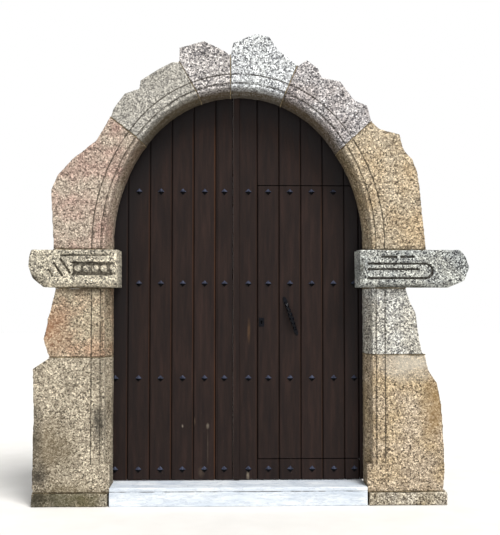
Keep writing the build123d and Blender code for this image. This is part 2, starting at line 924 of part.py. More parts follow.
left_stud_columns = middles(left_edges)
strip_right = strip_left + strip_width
meeting_stud = (strip_right + wicket_left_line) / 2
wicket_stud_columns = [*middles(wicket_edges)[:-1], wicket_right_line - edge_stud_inset]

left_studs = stud_group(
    [(x, row) for row in stud_rows[:3] for x in left_stud_columns]
    + [(x, stud_rows[3]) for x in left_stud_columns[1:]]
)
left_studs.part.label = "left_studs"
export_step(left_studs.part, "parts/left_studs.step")

right_studs = stud_group(
    [(meeting_stud, row) for row in stud_rows] + [(x, stud_rows[0]) for x in wicket_stud_columns]
)
right_studs.part.label = "right_studs"
export_step(right_studs.part, "parts/right_studs.step")

wicket_studs = stud_group(
    [(x, row) for row in stud_rows[1:3] for x in wicket_stud_columns]
    + [(x, stud_rows[3]) for x in wicket_stud_columns[:-1]]
)
wicket_studs.part.label = "wicket_studs"
export_step(wicket_studs.part, "parts/wicket_studs.step")


def strap_hinge(axis_x, row, reach):
    """A strap with a pointed end and a rolled eye; reach is negative to the left."""
    hand = 1 if reach > 0 else -1
    root = axis_x + hand * eye_outer
    tip = axis_x + reach
    shoulder = tip - hand * min(strap_point, abs(reach) / 4)
    half = strap_width / 2
    with BuildPart() as strap:
        with BuildSketch(front(ledge_back)):
            with BuildLine():
                Polyline(
                    (root, row - half),
                    (shoulder, row - half),
                    (tip, row),
                    (shoulder, row + half),
                    (root, row + half),
                    close=True,
                )
            make_face()
        extrude(amount=-strap_thickness)
        with BuildSketch(Plane.XY.offset(row - half)):
            with Locations((axis_x, hinge_y)):
                RegularPolygon(eye_outer, eye_sides, rotation=180 / eye_sides)
            neck = strap_thickness - eye_lift
            neck_middle = (axis_x + root + hand * eye_overlap) / 2
            with Locations((neck_middle, ledge_back + eye_lift + neck / 2)):
                Rectangle(eye_outer + eye_overlap, neck)
            with Locations((axis_x, hinge_y)):
                Circle(eye_bore, mode=Mode.SUBTRACT)
        extrude(amount=strap_width)
    return strap.part


with BuildPart() as left_straps:
    for row in left_rows:
        add(strap_hinge(-hinge_x, row, strap_reach))
left_straps.part.label = "left_straps"
export_step(left_straps.part, "parts/left_straps.step")

with BuildPart() as right_straps:
    for row, reach in zip(right_rows, (strap_reach, short_reach, short_reach)):
        add(strap_hinge(hinge_x, row, -reach))
right_straps.part.label = "right_straps"
export_step(right_straps.part, "parts/right_straps.step")

wicket_rows = [
    stud_rows[1] + strap_rise,
    stud_rows[2] + strap_rise,
    wicket_top_ledge - wicket_strap_drop,
]
with BuildPart() as wicket_straps:
    for row in wicket_rows:
        add(strap_hinge(wicket_hinge_x, row, -wicket_strap_reach))
wicket_straps.part.label = "wicket_straps"
export_step(wicket_straps.part, "parts/wicket_straps.step")

# Pintles let into the back of the stones
with BuildPart() as leaf_pintles:
    for side, rows in ((-1, left_rows), (1, right_rows)):
        for row in rows:
            with BuildSketch(front(stone_depth - tail_bite)):
                with Locations((side * hinge_x, row - tail_drop)):
                    Rectangle(tail_side, tail_side)
            extrude(amount=stone_depth - tail_bite - hinge_y - tail_side / 2)
            with BuildSketch(Plane.XY.offset(row - strap_width / 2 - seat_gap)):
                with Locations((side * hinge_x, hinge_y)):
                    Circle(pin_radius)
            extrude(amount=seat_gap + strap_width + pin_rise)
leaf_pintles.part.label = "leaf_pintles"
export_step(leaf_pintles.part, "parts/leaf_pintles.step")

# Pintles that carry the wicket, each on a plate on the hanging stile
with BuildPart() as wicket_pintles:
    for row in wicket_rows:
        lug_top = row - strap_width / 2 - seat_gap
        plate_left = hanging_left + ledge_end_gap
        with BuildSketch(front(ledge_back)):
            with Locations((plate_left + plate_width / 2, lug_top - plate_height / 2)):
                Rectangle(plate_width, plate_height)
        extrude(amount=-strap_thickness)
        lug_depth = hinge_y + tail_side / 2 - ledge_back
        with BuildSketch(Plane.XY.offset(lug_top - lug_height)):
            with Locations((wicket_hinge_x + (tail_side / 2 - pin_radius), ledge_back + lug_depth / 2)):
                Rectangle(tail_side, lug_depth)
        extrude(amount=lug_height)
        with BuildSketch(Plane.XY.offset(lug_top)):
            with Locations((wicket_hinge_x, hinge_y)):
                Circle(pin_radius)
        extrude(amount=seat_gap + strap_width + pin_rise)
wicket_pintles.part.label = "wicket_pintles"
export_step(wicket_pintles.part, "parts/wicket_pintles.step")


def upright_guide(x, row):
    """A guide for an upright bolt, on the back of a board."""
    with BuildPart() as guide:
        with BuildSketch(Plane.XY.offset(row - guide_thickness / 2)):
            with Locations((x, ledge_back + guide_depth / 2)):
                Rectangle(guide_width, guide_depth)
            with Locations((x, bar_y)):
                Rectangle(bar_hole, bar_hole, mode=Mode.SUBTRACT)
        extrude(amount=guide_thickness)
    return guide.part


def level_guide(x, row):
    """A guide or keeper for a level bolt, on the back of a board."""
    with BuildPart() as guide:
        with BuildSketch(Plane.YZ.offset(x - guide_thickness / 2)):
            with Locations((ledge_back + guide_depth / 2, row)):
                Rectangle(guide_depth, guide_width)
            with Locations((bar_y, row)):
                Rectangle(bar_hole, bar_hole, mode=Mode.SUBTRACT)
        extrude(amount=guide_thickness)
    return guide.part


def foot_bolt(x):
    """An upright bolt, lifted out of its socket, with a knob to drop it by."""
    with BuildPart() as bolt:
        with BuildSketch(Plane.XY.offset(foot_bolt_rest)):
            with Locations((x, bar_y)):
                Rectangle(bolt_side, bolt_side)
        extrude(amount=foot_bolt_length)
        chamfer(bolt.faces().sort_by(Axis.Z)[0].edges(), bolt_nose)
        with BuildSketch(front(bar_y)):
            with Locations((x, foot_bolt_rest + foot_bolt_knob)):
                RegularPolygon(knob_radius, knob_sides)
        extrude(amount=-knob_length)
    return bolt


with BuildPart() as left_bolt_guides:
    for row in foot_guide_rows:
        add(upright_guide(left_foot_bolt_x, row))
    add(level_guide(cross_keeper, cross_bolt_row))
left_bolt_guides.part.label = "left_bolt_guides"
export_step(left_bolt_guides.part, "parts/left_bolt_guides.step")

with BuildPart() as right_bolt_guides:
    for row in foot_guide_rows:
        add(upright_guide(right_foot_bolt_x, row))
    for place in cross_guides:
        add(level_guide(place, cross_bolt_row))
right_bolt_guides.part.label = "right_bolt_guides"
export_step(right_bolt_guides.part, "parts/right_bolt_guides.step")

left_foot_bolt = foot_bolt(left_foot_bolt_x)
left_foot_bolt.part.label = "left_foot_bolt"
export_step(left_foot_bolt.part, "parts/left_foot_bolt.step")

right_foot_bolt = foot_bolt(right_foot_bolt_x)
right_foot_bolt.part.label = "right_foot_bolt"
export_step(right_foot_bolt.part, "parts/right_foot_bolt.step")

# Level bolt across the meeting line, drawn back into the right leaf
with BuildPart() as cross_bolt:
    with BuildSketch(Plane.YZ.offset(cross_bolt_start)):
        with Locations((bar_y, cross_bolt_row)):
            Rectangle(bolt_side, bolt_side)
    extrude(amount=cross_bolt_length)
    chamfer(cross_bolt.faces().sort_by(Axis.X)[0].edges(), bolt_nose)
    with BuildSketch(front(bar_y)):
        with Locations((cross_bolt_start + cross_bolt_knob, cross_bolt_row)):
            RegularPolygon(knob_radius, knob_sides)
    extrude(amount=-knob_length)
cross_bolt.part.label = "cross_bolt"
export_step(cross_bolt.part, "parts/cross_bolt.step")

# Lock on the wicket: block, case, bolt and keeper
block_left = inner_left + seat_gap
with BuildPart() as wicket_lock_block:
    with BuildSketch(front(plank_back)):
        with Locations((block_left + lock_block / 2, key_z)):
            Rectangle(lock_block, lock_block)
    extrude(amount=-ledge_thickness)
    chamfer(wicket_lock_block.faces().sort_by(Axis.Y)[-1].edges(), ledge_bevel)
    add(keyhole(plank_back, ledge_thickness), mode=Mode.SUBTRACT)
wicket_lock_block.part.label = "wicket_lock_block"
export_step(wicket_lock_block.part, "parts/wicket_lock_block.step")

case_left = block_left + case_inset
case_low = key_z - case_drop
lock_bolt_y = ledge_back + case_depth / 2
lock_bolt_z = key_z + lock_bolt_rise
bolt_length, bolt_width, bolt_height = lock_bolt_size
bolt_left = case_left - lock_bolt_proud
bolt_middle = (bolt_left + bolt_length / 2, lock_bolt_y, lock_bolt_z)
with BuildPart() as lock_case:
    with BuildSketch(front(ledge_back)):
        with Locations((case_left + case_size[0] / 2, case_low + case_size[1] / 2)):
            Rectangle(*case_size)
    extrude(amount=-case_depth)
    chamfer(lock_case.faces().sort_by(Axis.Y)[-1].edges(), case_bevel)
    with BuildSketch(Plane.YZ.offset(case_left)):
        with Locations((lock_bolt_y, lock_bolt_z)):
            Rectangle(bolt_width + 2 * bolt_clearance, bolt_height + 2 * bolt_clearance)
    extrude(amount=bolt_length, mode=Mode.SUBTRACT)
    add(keyhole(ledge_back, key_depth), mode=Mode.SUBTRACT)
lock_case.part.label = "lock_case"
export_step(lock_case.part, "parts/lock_case.step")

with BuildPart() as lock_bolt:
    with Locations(bolt_middle):
        Box(bolt_length, bolt_width, bolt_height)
    chamfer(lock_bolt.faces().sort_by(Axis.X)[0].edges(), bolt_nose)
lock_bolt.part.label = "lock_bolt"
export_step(lock_bolt.part, "parts/lock_bolt.step")

keeper_right = stile_right - keeper_inset
with BuildPart() as lock_keeper:
    with BuildSketch(front(ledge_back)):
        with Locations((keeper_right - keeper_size[0] / 2, lock_bolt_z)):
            Rectangle(*keeper_size)
    extrude(amount=-case_depth)
    with BuildSketch(Plane.YZ.offset(keeper_right)):
        with Locations((lock_bolt_y, lock_bolt_z)):
            Rectangle(bolt_width + 2 * keeper_clearance, bolt_height + 2 * keeper_clearance)
    extrude(amount=-keeper_size[0], mode=Mode.SUBTRACT)
lock_keeper.part.label = "lock_keeper"
export_step(lock_keeper.part, "parts/lock_keeper.step")

with BuildPart() as key_escutcheon:
    with BuildSketch(front(leaf_front)):
        with Locations((key_x, key_z - keyhole_drop / 4)):
            Rectangle(*plate_size)
    extrude(amount=key_plate_thickness)
    add(keyhole(leaf_front - key_plate_thickness, key_plate_thickness), mode=Mode.SUBTRACT)
key_escutcheon.part.label = "key_escutcheon"
export_step(key_escutcheon.part, "parts/key_escutcheon.step")

# Pull handle: a bowed grip between two flattened ends
lean = radians(handle_lean)
handle_up = Vector(-sin(lean), 0, cos(lean))
outward = Vector(0, -1, 0)
handle_origin = (handle_x, leaf_front, handle_z)
handle_face = Plane(origin=handle_origin, x_dir=handle_up, z_dir=outward)
handle_side = Plane(origin=handle_origin, x_dir=handle_up, z_dir=handle_up.cross(outward))
half_span = grip_span / 2
plate_length, plate_breadth = handle_plate
plate_rim = [
    (plate_length / 2, 0),
    (plate_length / 4, plate_breadth / 2),
    (-plate_length / 4, plate_breadth / 2),
    (-plate_length / 2, 0),
    (-plate_length / 4, -plate_breadth / 2),
    (plate_length / 4, -plate_breadth / 2),
]
with BuildPart() as pull_handle:
    with BuildSketch(handle_face):
        plate_place = (handle_length - plate_length) / 2
        with Locations((-plate_place, 0), (plate_place, 0)):
            Polygon(*plate_rim)
    extrude(amount=handle_plate_thickness)
    with BuildLine(handle_side) as grip_line:
        ThreePointArc(
            (-half_span, handle_plate_thickness / 2),
            (0, grip_stand),
            (half_span, handle_plate_thickness / 2),
        )
    grip_start = grip_line.line @ 0
    grip_plane = Plane(
        origin=grip_start,
        x_dir=handle_side.z_dir,
        z_dir=grip_line.line % 0,
    )
    with BuildSketch(grip_plane):
        Rectangle(grip_side, grip_side)
    sweep(path=grip_line.line)
    split(bisect_by=handle_face, keep=Keep.TOP)
pull_handle.part.label = "pull_handle"
export_step(pull_handle.part, "parts/pull_handle.step")
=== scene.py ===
import json
import math

import bpy
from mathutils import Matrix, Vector

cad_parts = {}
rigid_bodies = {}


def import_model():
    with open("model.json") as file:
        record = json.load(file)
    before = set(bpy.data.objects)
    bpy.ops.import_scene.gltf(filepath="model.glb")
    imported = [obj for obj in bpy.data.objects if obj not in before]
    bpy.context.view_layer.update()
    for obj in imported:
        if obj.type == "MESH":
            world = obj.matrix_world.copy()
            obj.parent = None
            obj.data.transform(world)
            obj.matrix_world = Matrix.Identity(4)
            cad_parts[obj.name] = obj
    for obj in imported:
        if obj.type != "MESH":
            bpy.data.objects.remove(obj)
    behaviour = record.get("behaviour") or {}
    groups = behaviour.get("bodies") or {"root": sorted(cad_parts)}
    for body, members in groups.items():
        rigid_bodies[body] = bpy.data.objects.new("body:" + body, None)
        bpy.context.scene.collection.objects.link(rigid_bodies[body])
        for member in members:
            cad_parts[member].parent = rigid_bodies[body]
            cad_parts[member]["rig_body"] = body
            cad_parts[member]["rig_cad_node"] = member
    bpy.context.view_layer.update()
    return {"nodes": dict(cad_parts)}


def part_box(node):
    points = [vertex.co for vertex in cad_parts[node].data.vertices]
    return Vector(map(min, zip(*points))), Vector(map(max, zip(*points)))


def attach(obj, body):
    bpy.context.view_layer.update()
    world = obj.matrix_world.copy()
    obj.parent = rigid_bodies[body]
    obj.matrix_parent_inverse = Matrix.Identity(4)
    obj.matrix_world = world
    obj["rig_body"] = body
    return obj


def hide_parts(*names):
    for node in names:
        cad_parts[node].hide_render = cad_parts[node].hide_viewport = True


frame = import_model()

nodes = frame["nodes"]
print("frame loaded:", len(nodes), "nodes")

scene = bpy.context.scene
scene.view_settings.view_transform = "Standard"
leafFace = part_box("left_plank_3")[0].y  # front of the planks
mergeReach = 0.00002  # the doubled points of a CAD node lie closer than this


def linear(colour):
    # a colour as picked from a picture, 0 to 255, made ready for a shader
    parts = []
    for part in colour:
        share = part / 255
        parts.append(share / 12.92 if share <= 0.04045 else ((share + 0.055) / 1.055) ** 2.4)
    return (*parts, 1.0)


def deselectAll():
    if bpy.context.object and bpy.context.object.mode != "OBJECT":
        bpy.ops.object.mode_set(mode="OBJECT")
    bpy.ops.object.select_all(action="DESELECT")


def makeActive(piece):
    deselectAll()
    piece.select_set(True)
    bpy.context.view_layer.objects.active = piece


def applyModifiers(piece):
    makeActive(piece)
    for name in [modifier.name for modifier in piece.modifiers]:
        bpy.ops.object.modifier_apply(modifier=name)


def copyOfNode(nodeName, pieceName):
    # a CAD node is loose triangles, so its copy is merged before anything else
    piece = nodes[nodeName].copy()
    piece.data = nodes[nodeName].data.copy()
    piece.name = pieceName
    piece.parent = None
    piece.modifiers.clear()
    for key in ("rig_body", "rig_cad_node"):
        if key in piece:
            del piece[key]
    scene.collection.objects.link(piece)
    makeActive(piece)
    bpy.ops.object.mode_set(mode="EDIT")
    bpy.ops.mesh.select_all(action="SELECT")
    bpy.ops.mesh.remove_doubles(threshold=mergeReach)
    bpy.ops.object.mode_set(mode="OBJECT")
    return piece


def dress(piece, material):
    # the object's own slots, so a CAD node's mesh is left as it is
    if not piece.material_slots:
        piece.data.materials.append(material)
    for slot in piece.material_slots:
        slot.link = "OBJECT"
        slot.material = material


# Steps that the materials share
def startMaterial(name):
    material = bpy.data.materials.new(name)
    material.use_nodes = True
    tree = material.node_tree
    place = tree.nodes.new("ShaderNodeTexCoord").outputs["Object"]
    return material, tree, tree.nodes["Principled BSDF"], place


def feed(tree, socket, value):
    if isinstance(value, bpy.types.NodeSocket):
        tree.links.new(value, socket)
    else:
        socket.default_value = value


def stretched(tree, place, scale=(1, 1, 1), shift=(0, 0, 0)):
    mapping = tree.nodes.new("ShaderNodeMapping")
    mapping.inputs["Scale"].default_value = scale
    mapping.inputs["Location"].default_value = shift
    feed(tree, mapping.inputs["Vector"], place)
    return mapping.outputs["Vector"]


def noiseOf(tree, place, scale, detail=3.0, roughness=0.55):
    noise = tree.nodes.new("ShaderNodeTexNoise")
    feed(tree, noise.inputs["Vector"], place)
    noise.inputs["Scale"].default_value = scale
    noise.inputs["Detail"].default_value = detail
    noise.inputs["Roughness"].default_value = roughness
    return noise.outputs["Fac"]


def grainOf(tree, place, scale):
    # one random grey for each crystal
    cells = tree.nodes.new("ShaderNodeTexVoronoi")
    feed(tree, cells.inputs["Vector"], place)
    cells.inputs["Scale"].default_value = scale
    split = tree.nodes.new("ShaderNodeSeparateColor")
    feed(tree, split.inputs["Color"], cells.outputs["Color"])
    return split.outputs["Red"]


def rampOf(tree, value, stops):
    ramp = tree.nodes.new("ShaderNodeValToRGB")
    feed(tree, ramp.inputs["Fac"], value)
    band = ramp.color_ramp
    while len(band.elements) < len(stops):
        band.elements.new(0.5)
    for element, (at, colour) in zip(band.elements, stops):
        element.position = at
        element.color = colour if len(colour) == 4 else linear(colour)
    return ramp.outputs["Color"]


def greyRamp(tree, value, low, high, dark=0.0, light=1.0):
    ramp = tree.nodes.new("ShaderNodeMapRange")
    feed(tree, ramp.inputs["Value"], value)
    ramp.inputs["From Min"].default_value = low
    ramp.inputs["From Max"].default_value = high
    ramp.inputs["To Min"].default_value = dark
    ramp.inputs["To Max"].default_value = light
    return ramp.outputs["Result"]


def mixOf(tree, factor, first, second, blend="MIX"):
    mix = tree.nodes.new("ShaderNodeMix")
    mix.data_type = "RGBA"
    mix.blend_type = blend
    feed(tree, mix.inputs["Factor"], factor)
    feed(tree, mix.inputs["A"], first)
    feed(tree, mix.inputs["B"], second)
    return mix.outputs["Result"]


def mathOf(tree, operation, first, second=0.0):
    step = tree.nodes.new("ShaderNodeMath")
    step.operation = operation
    feed(tree, step.inputs[0], first)
    feed(tree, step.inputs[1], second)
    return step.outputs["Value"]


def times(tree, first, *others):
    # any number of values multiplied
    for other in others:
        first = mathOf(tree, "MULTIPLY", first, other)
    return first


def offFrom(tree, value, middle):
    # how far a value lies to either side of the middle
    return mathOf(tree, "ABSOLUTE", mathOf(tree, "SUBTRACT", value, middle))


def axesOf(tree, vector):
    split = tree.nodes.new("ShaderNodeSeparateXYZ")
    feed(tree, split.inputs["Vector"], vector)
    return split.outputs


def spotOf(tree, place, centre, reach):
    # 1 in the middle of an egg-shaped spot, 0 outside it
    mapping = tree.nodes.new("ShaderNodeMapping")
    mapping.vector_type = "TEXTURE"
    mapping.inputs["Location"].default_value = centre
    mapping.inputs["Scale"].default_value = reach
    feed(tree, mapping.inputs["Vector"], place)
    ball = tree.nodes.new("ShaderNodeTexGradient")
    ball.gradient_type = "SPHERICAL"
    feed(tree, ball.inputs["Vector"], mapping.outputs["Vector"])
    return ball.outputs["Fac"]


def bumpOf(tree, shader, height, distance):
    bump = tree.nodes.new("ShaderNodeBump")
    bump.inputs["Strength"].default_value = 1.0
    bump.inputs["Distance"].default_value = distance
    feed(tree, bump.inputs["Height"], height)
    feed(tree, shader.inputs["Normal"], bump.outputs["Normal"])


# The opening between the stones, in metres
arch = {
    "half": 0.940,
    "springing": 1.910,
    "flankShift": 0.342,  # how far each flank's centre lies beyond the middle
    "crownLift": 0.288,  # how far the crown's centre lies above the springing
    "mouldingFoot": 0.296,
    "innerGroove": 0.073,
    "outerGroove": 0.138,
    "grooveHalf": 0.0065,
    "grooveFloor": 0.0026,  # half width of its darkest part
}
arch["flankRadius"] = arch["half"] + arch["flankShift"]
arch["crownRadius"] = arch["flankRadius"] - math.hypot(arch["flankShift"], arch["crownLift"])


def lengthOf(tree, across, along):
    squares = mathOf(tree, "ADD", mathOf(tree, "POWER", across, 2.0), mathOf(tree, "POWER", along, 2.0))
    return mathOf(tree, "SQRT", squares)


def beyondArch(tree, axes):
    # how far a point lies outside the opening's edge, less than 0 within it
    across = mathOf(tree, "ABSOLUTE", axes["X"])
    above = mathOf(tree, "SUBTRACT", axes["Z"], arch["springing"])
    above = mathOf(tree, "MAXIMUM", above, 0.0)
    fromFlank = mathOf(tree, "ADD", across, arch["flankShift"])
    flank = mathOf(tree, "SUBTRACT", lengthOf(tree, fromFlank, above), arch["flankRadius"])
    overCentre = offFrom(tree, above, arch["crownLift"])
    crown = mathOf(tree, "SUBTRACT", lengthOf(tree, across, overCentre), arch["crownRadius"])
    steep = times(tree, fromFlank, arch["crownLift"] / arch["flankShift"])
    atCrown = mathOf(tree, "GREATER_THAN", above, steep)
    change = times(tree, mathOf(tree, "SUBTRACT", crown, flank), atCrown)
    return mathOf(tree, "ADD", flank, change)


def grooveLine(tree, beyond, middle):
    # 1 along a groove of the moulding, 0 beside it
    off = offFrom(tree, beyond, middle)
    return greyRamp(tree, off, arch["grooveFloor"], arch["grooveHalf"], 1.0, 0.0)


# Granite, one colouring for each stone
granite = {
    "grain": 104.0,  # crystals to the metre
    "fineGrain": 215.0,
    "grainDepth": 0.5,  # a crystal's height against the pits
    "pits": (55.0, 6.0, 0.7),  # each noise: scale, detail, roughness
    "bump": 0.005,
    "roughness": 0.92,
    "shine": 0.2,
    "patches": 4.2,
    "patchEdge": (0.4, 0.62),  # each edge: where a patch starts, where it is full
    "stainNoise": (9.0, 5.0, 0.7),
    "stainEdge": (0.12, 0.42),
    # colour of the painted shade in creases, carved cuts and moulding grooves
    "paintedShade": (52, 46, 38),
    "creases": (0.40, 0.495),
    "creaseShade": 0.7,
    "cutNoise": (42.0, 3.0, 0.7),
    "cutEdge": (0.32, 0.5),
    "cutPale": 0.5,
    "cutDeepest": 0.02,
    "crumbNoise": (26.0, 4.0, 0.7),
    "crumbEdge": (0.34, 0.52),
    "crumbPale": 0.35,
    "innerDark": 0.8,  # how dark the painted shade in the moulding's grooves is
    "outerDark": 0.9,
    "faceDepth": 0.02,  # the grooves are darkened no farther back
    # brown painted shade under the arch
    "soffitShadeColour": (64, 51, 28),
    "soffitShadeLow": 0.35,
    "soffitShadeHigh": 0.9,
    "soffitShadeWidth": (0.022, 0.048),
    "soffitShadeRise": (1.9, 2.8),
    "soffitShadeDepth": (-0.004, 0.03),
}


def carvedShade(tree, place, axes, look):
    # painted shade in the cuts: deeper than the face, and inside the carved field
    face, left, right, foot, top, shallow, deep = look["carving"]
    cover = greyRamp(tree, axes["Y"], face + shallow, face + deep)
    cover = times(tree, cover, mathOf(tree, "LESS_THAN", axes["Y"], face + granite["cutDeepest"]))
    for axis, low, high in (("X", left, right), ("Z", foot, top)):
        cover = times(tree, cover, mathOf(tree, "GREATER_THAN", axes[axis], low))
        cover = times(tree, cover, mathOf(tree, "LESS_THAN", axes[axis], high))
    crumbs = noiseOf(tree, place, *granite["cutNoise"])
    patchy = greyRamp(tree, crumbs, *granite["cutEdge"], granite["cutPale"], look["paintedShade"])
    return times(tree, cover, patchy)


def mouldingGrooveShade(tree, place, axes, beyond):
    # painted shade in the grooves along the opening, broken where their edges crumble
    inner = times(tree, grooveLine(tree, beyond, arch["innerGroove"]), granite["innerDark"])
    outer = times(tree, grooveLine(tree, beyond, arch["outerGroove"]), granite["outerDark"])
    crumbs = noiseOf(tree, place, *granite["crumbNoise"])
    crumbling = greyRamp(tree, crumbs, *granite["crumbEdge"], granite["crumbPale"], 1.0)
    onFace = mathOf(tree, "LESS_THAN", axes["Y"], granite["faceDepth"])
    above = mathOf(tree, "GREATER_THAN", axes["Z"], arch["mouldingFoot"])
    return times(tree, mathOf(tree, "MAXIMUM", inner, outer), crumbling, onFace, above)


def soffitShade(tree, axes, beyond):
    # painted shade under the arch: thickest at the crown, and only behind the face of the stones
    under = greyRamp(tree, beyond, *granite["soffitShadeWidth"], 1.0, 0.0)
    thick = greyRamp(tree, axes["Z"], *granite["soffitShadeRise"], granite["soffitShadeLow"], granite["soffitShadeHigh"])
    deep = greyRamp(tree, axes["Y"], *granite["soffitShadeDepth"])
    return times(tree, under, thick, deep)


def graniteMaterial(name, look, moulded):
    material, tree, shader, place = startMaterial(name)
    axes = axesOf(tree, place)
    patches = greyRamp(tree, noiseOf(tree, place, granite["patches"]), *granite["patchEdge"])
    colour = mixOf(tree, patches, linear(look["colour"]), linear(look["tint"]))
    grain = grainOf(tree, place, granite["grain"])
    crystals = rampOf(tree, grain, look["crystals"])
    colour = mixOf(tree, look["contrast"], colour, crystals, "MULTIPLY")
    fine = rampOf(tree, grainOf(tree, place, granite["fineGrain"]), fineStops)
    colour = mixOf(tree, look["fine"], colour, fine, "MULTIPLY")
    for centre, reach, stain, strength in look.get("stains", ()):
        ragged = noiseOf(tree, place, *granite["stainNoise"])
        spot = times(tree, spotOf(tree, place, centre, reach), ragged)
        cover = greyRamp(tree, spot, *granite["stainEdge"], 0.0, strength)
        colour = mixOf(tree, cover, colour, linear(stain))

    # painted shade in the hollows, where the mesh is creased inward
    crease = tree.nodes.new("ShaderNodeNewGeometry").outputs["Pointiness"]
    paintedShade = greyRamp(tree, crease, *granite["creases"], look.get("paintedShade", granite["creaseShade"]), 0.0)
    if "carving" in look:
        paintedShade = mathOf(tree, "MAXIMUM", paintedShade, carvedShade(tree, place, axes, look))
    if moulded:
        beyond = beyondArch(tree, axes)
        paintedShade = mathOf(tree, "MAXIMUM", paintedShade, mouldingGrooveShade(tree, place, axes, beyond))
        colour = mixOf(tree, soffitShade(tree, axes, beyond), colour, linear(granite["soffitShadeColour"]))
    colour = mixOf(tree, paintedShade, colour, linear(granite["paintedShade"]))

    feed(tree, shader.inputs["Base Color"], colour)
    shader.inputs["Roughness"].default_value = granite["roughness"]
    shader.inputs["Specular IOR Level"].default_value = granite["shine"]
    pits = noiseOf(tree, place, *granite["pits"])
    height = mathOf(tree, "ADD", times(tree, grain, granite["grainDepth"]), pits)
    bumpOf(tree, shader, height, granite["bump"])
    return material


# Stops of the crystals: a place on the ramp and the colour that multiplies the stone's own
fineStops = [
    (0.0, (0.18, 0.17, 0.16, 1)),
    (0.2, (0.55, 0.53, 0.51, 1)),
    (0.5, (1.0, 1.0, 1.0, 1)),
    (1.0, (1.6, 1.6, 1.6, 1)),
]
warmCrystals = [
    (0.0, (0.05, 0.04, 0.04, 1)),
    (0.12, (0.28, 0.25, 0.22, 1)),
    (0.3, (0.80, 0.76, 0.72, 1)),
    (0.65, (1.08, 1.06, 1.02, 1)),
    (0.95, (2.0, 2.0, 1.95, 1)),
]
greyCrystals = [
    (0.0, (0.03, 0.03, 0.04, 1)),
    (0.18, (0.22, 0.22, 0.25, 1)),
    (0.36, (0.80, 0.80, 0.82, 1)),
    (0.65, (1.15, 1.15, 1.15, 1)),
    (0.95, (2.1, 2.1, 2.1, 1)),
]

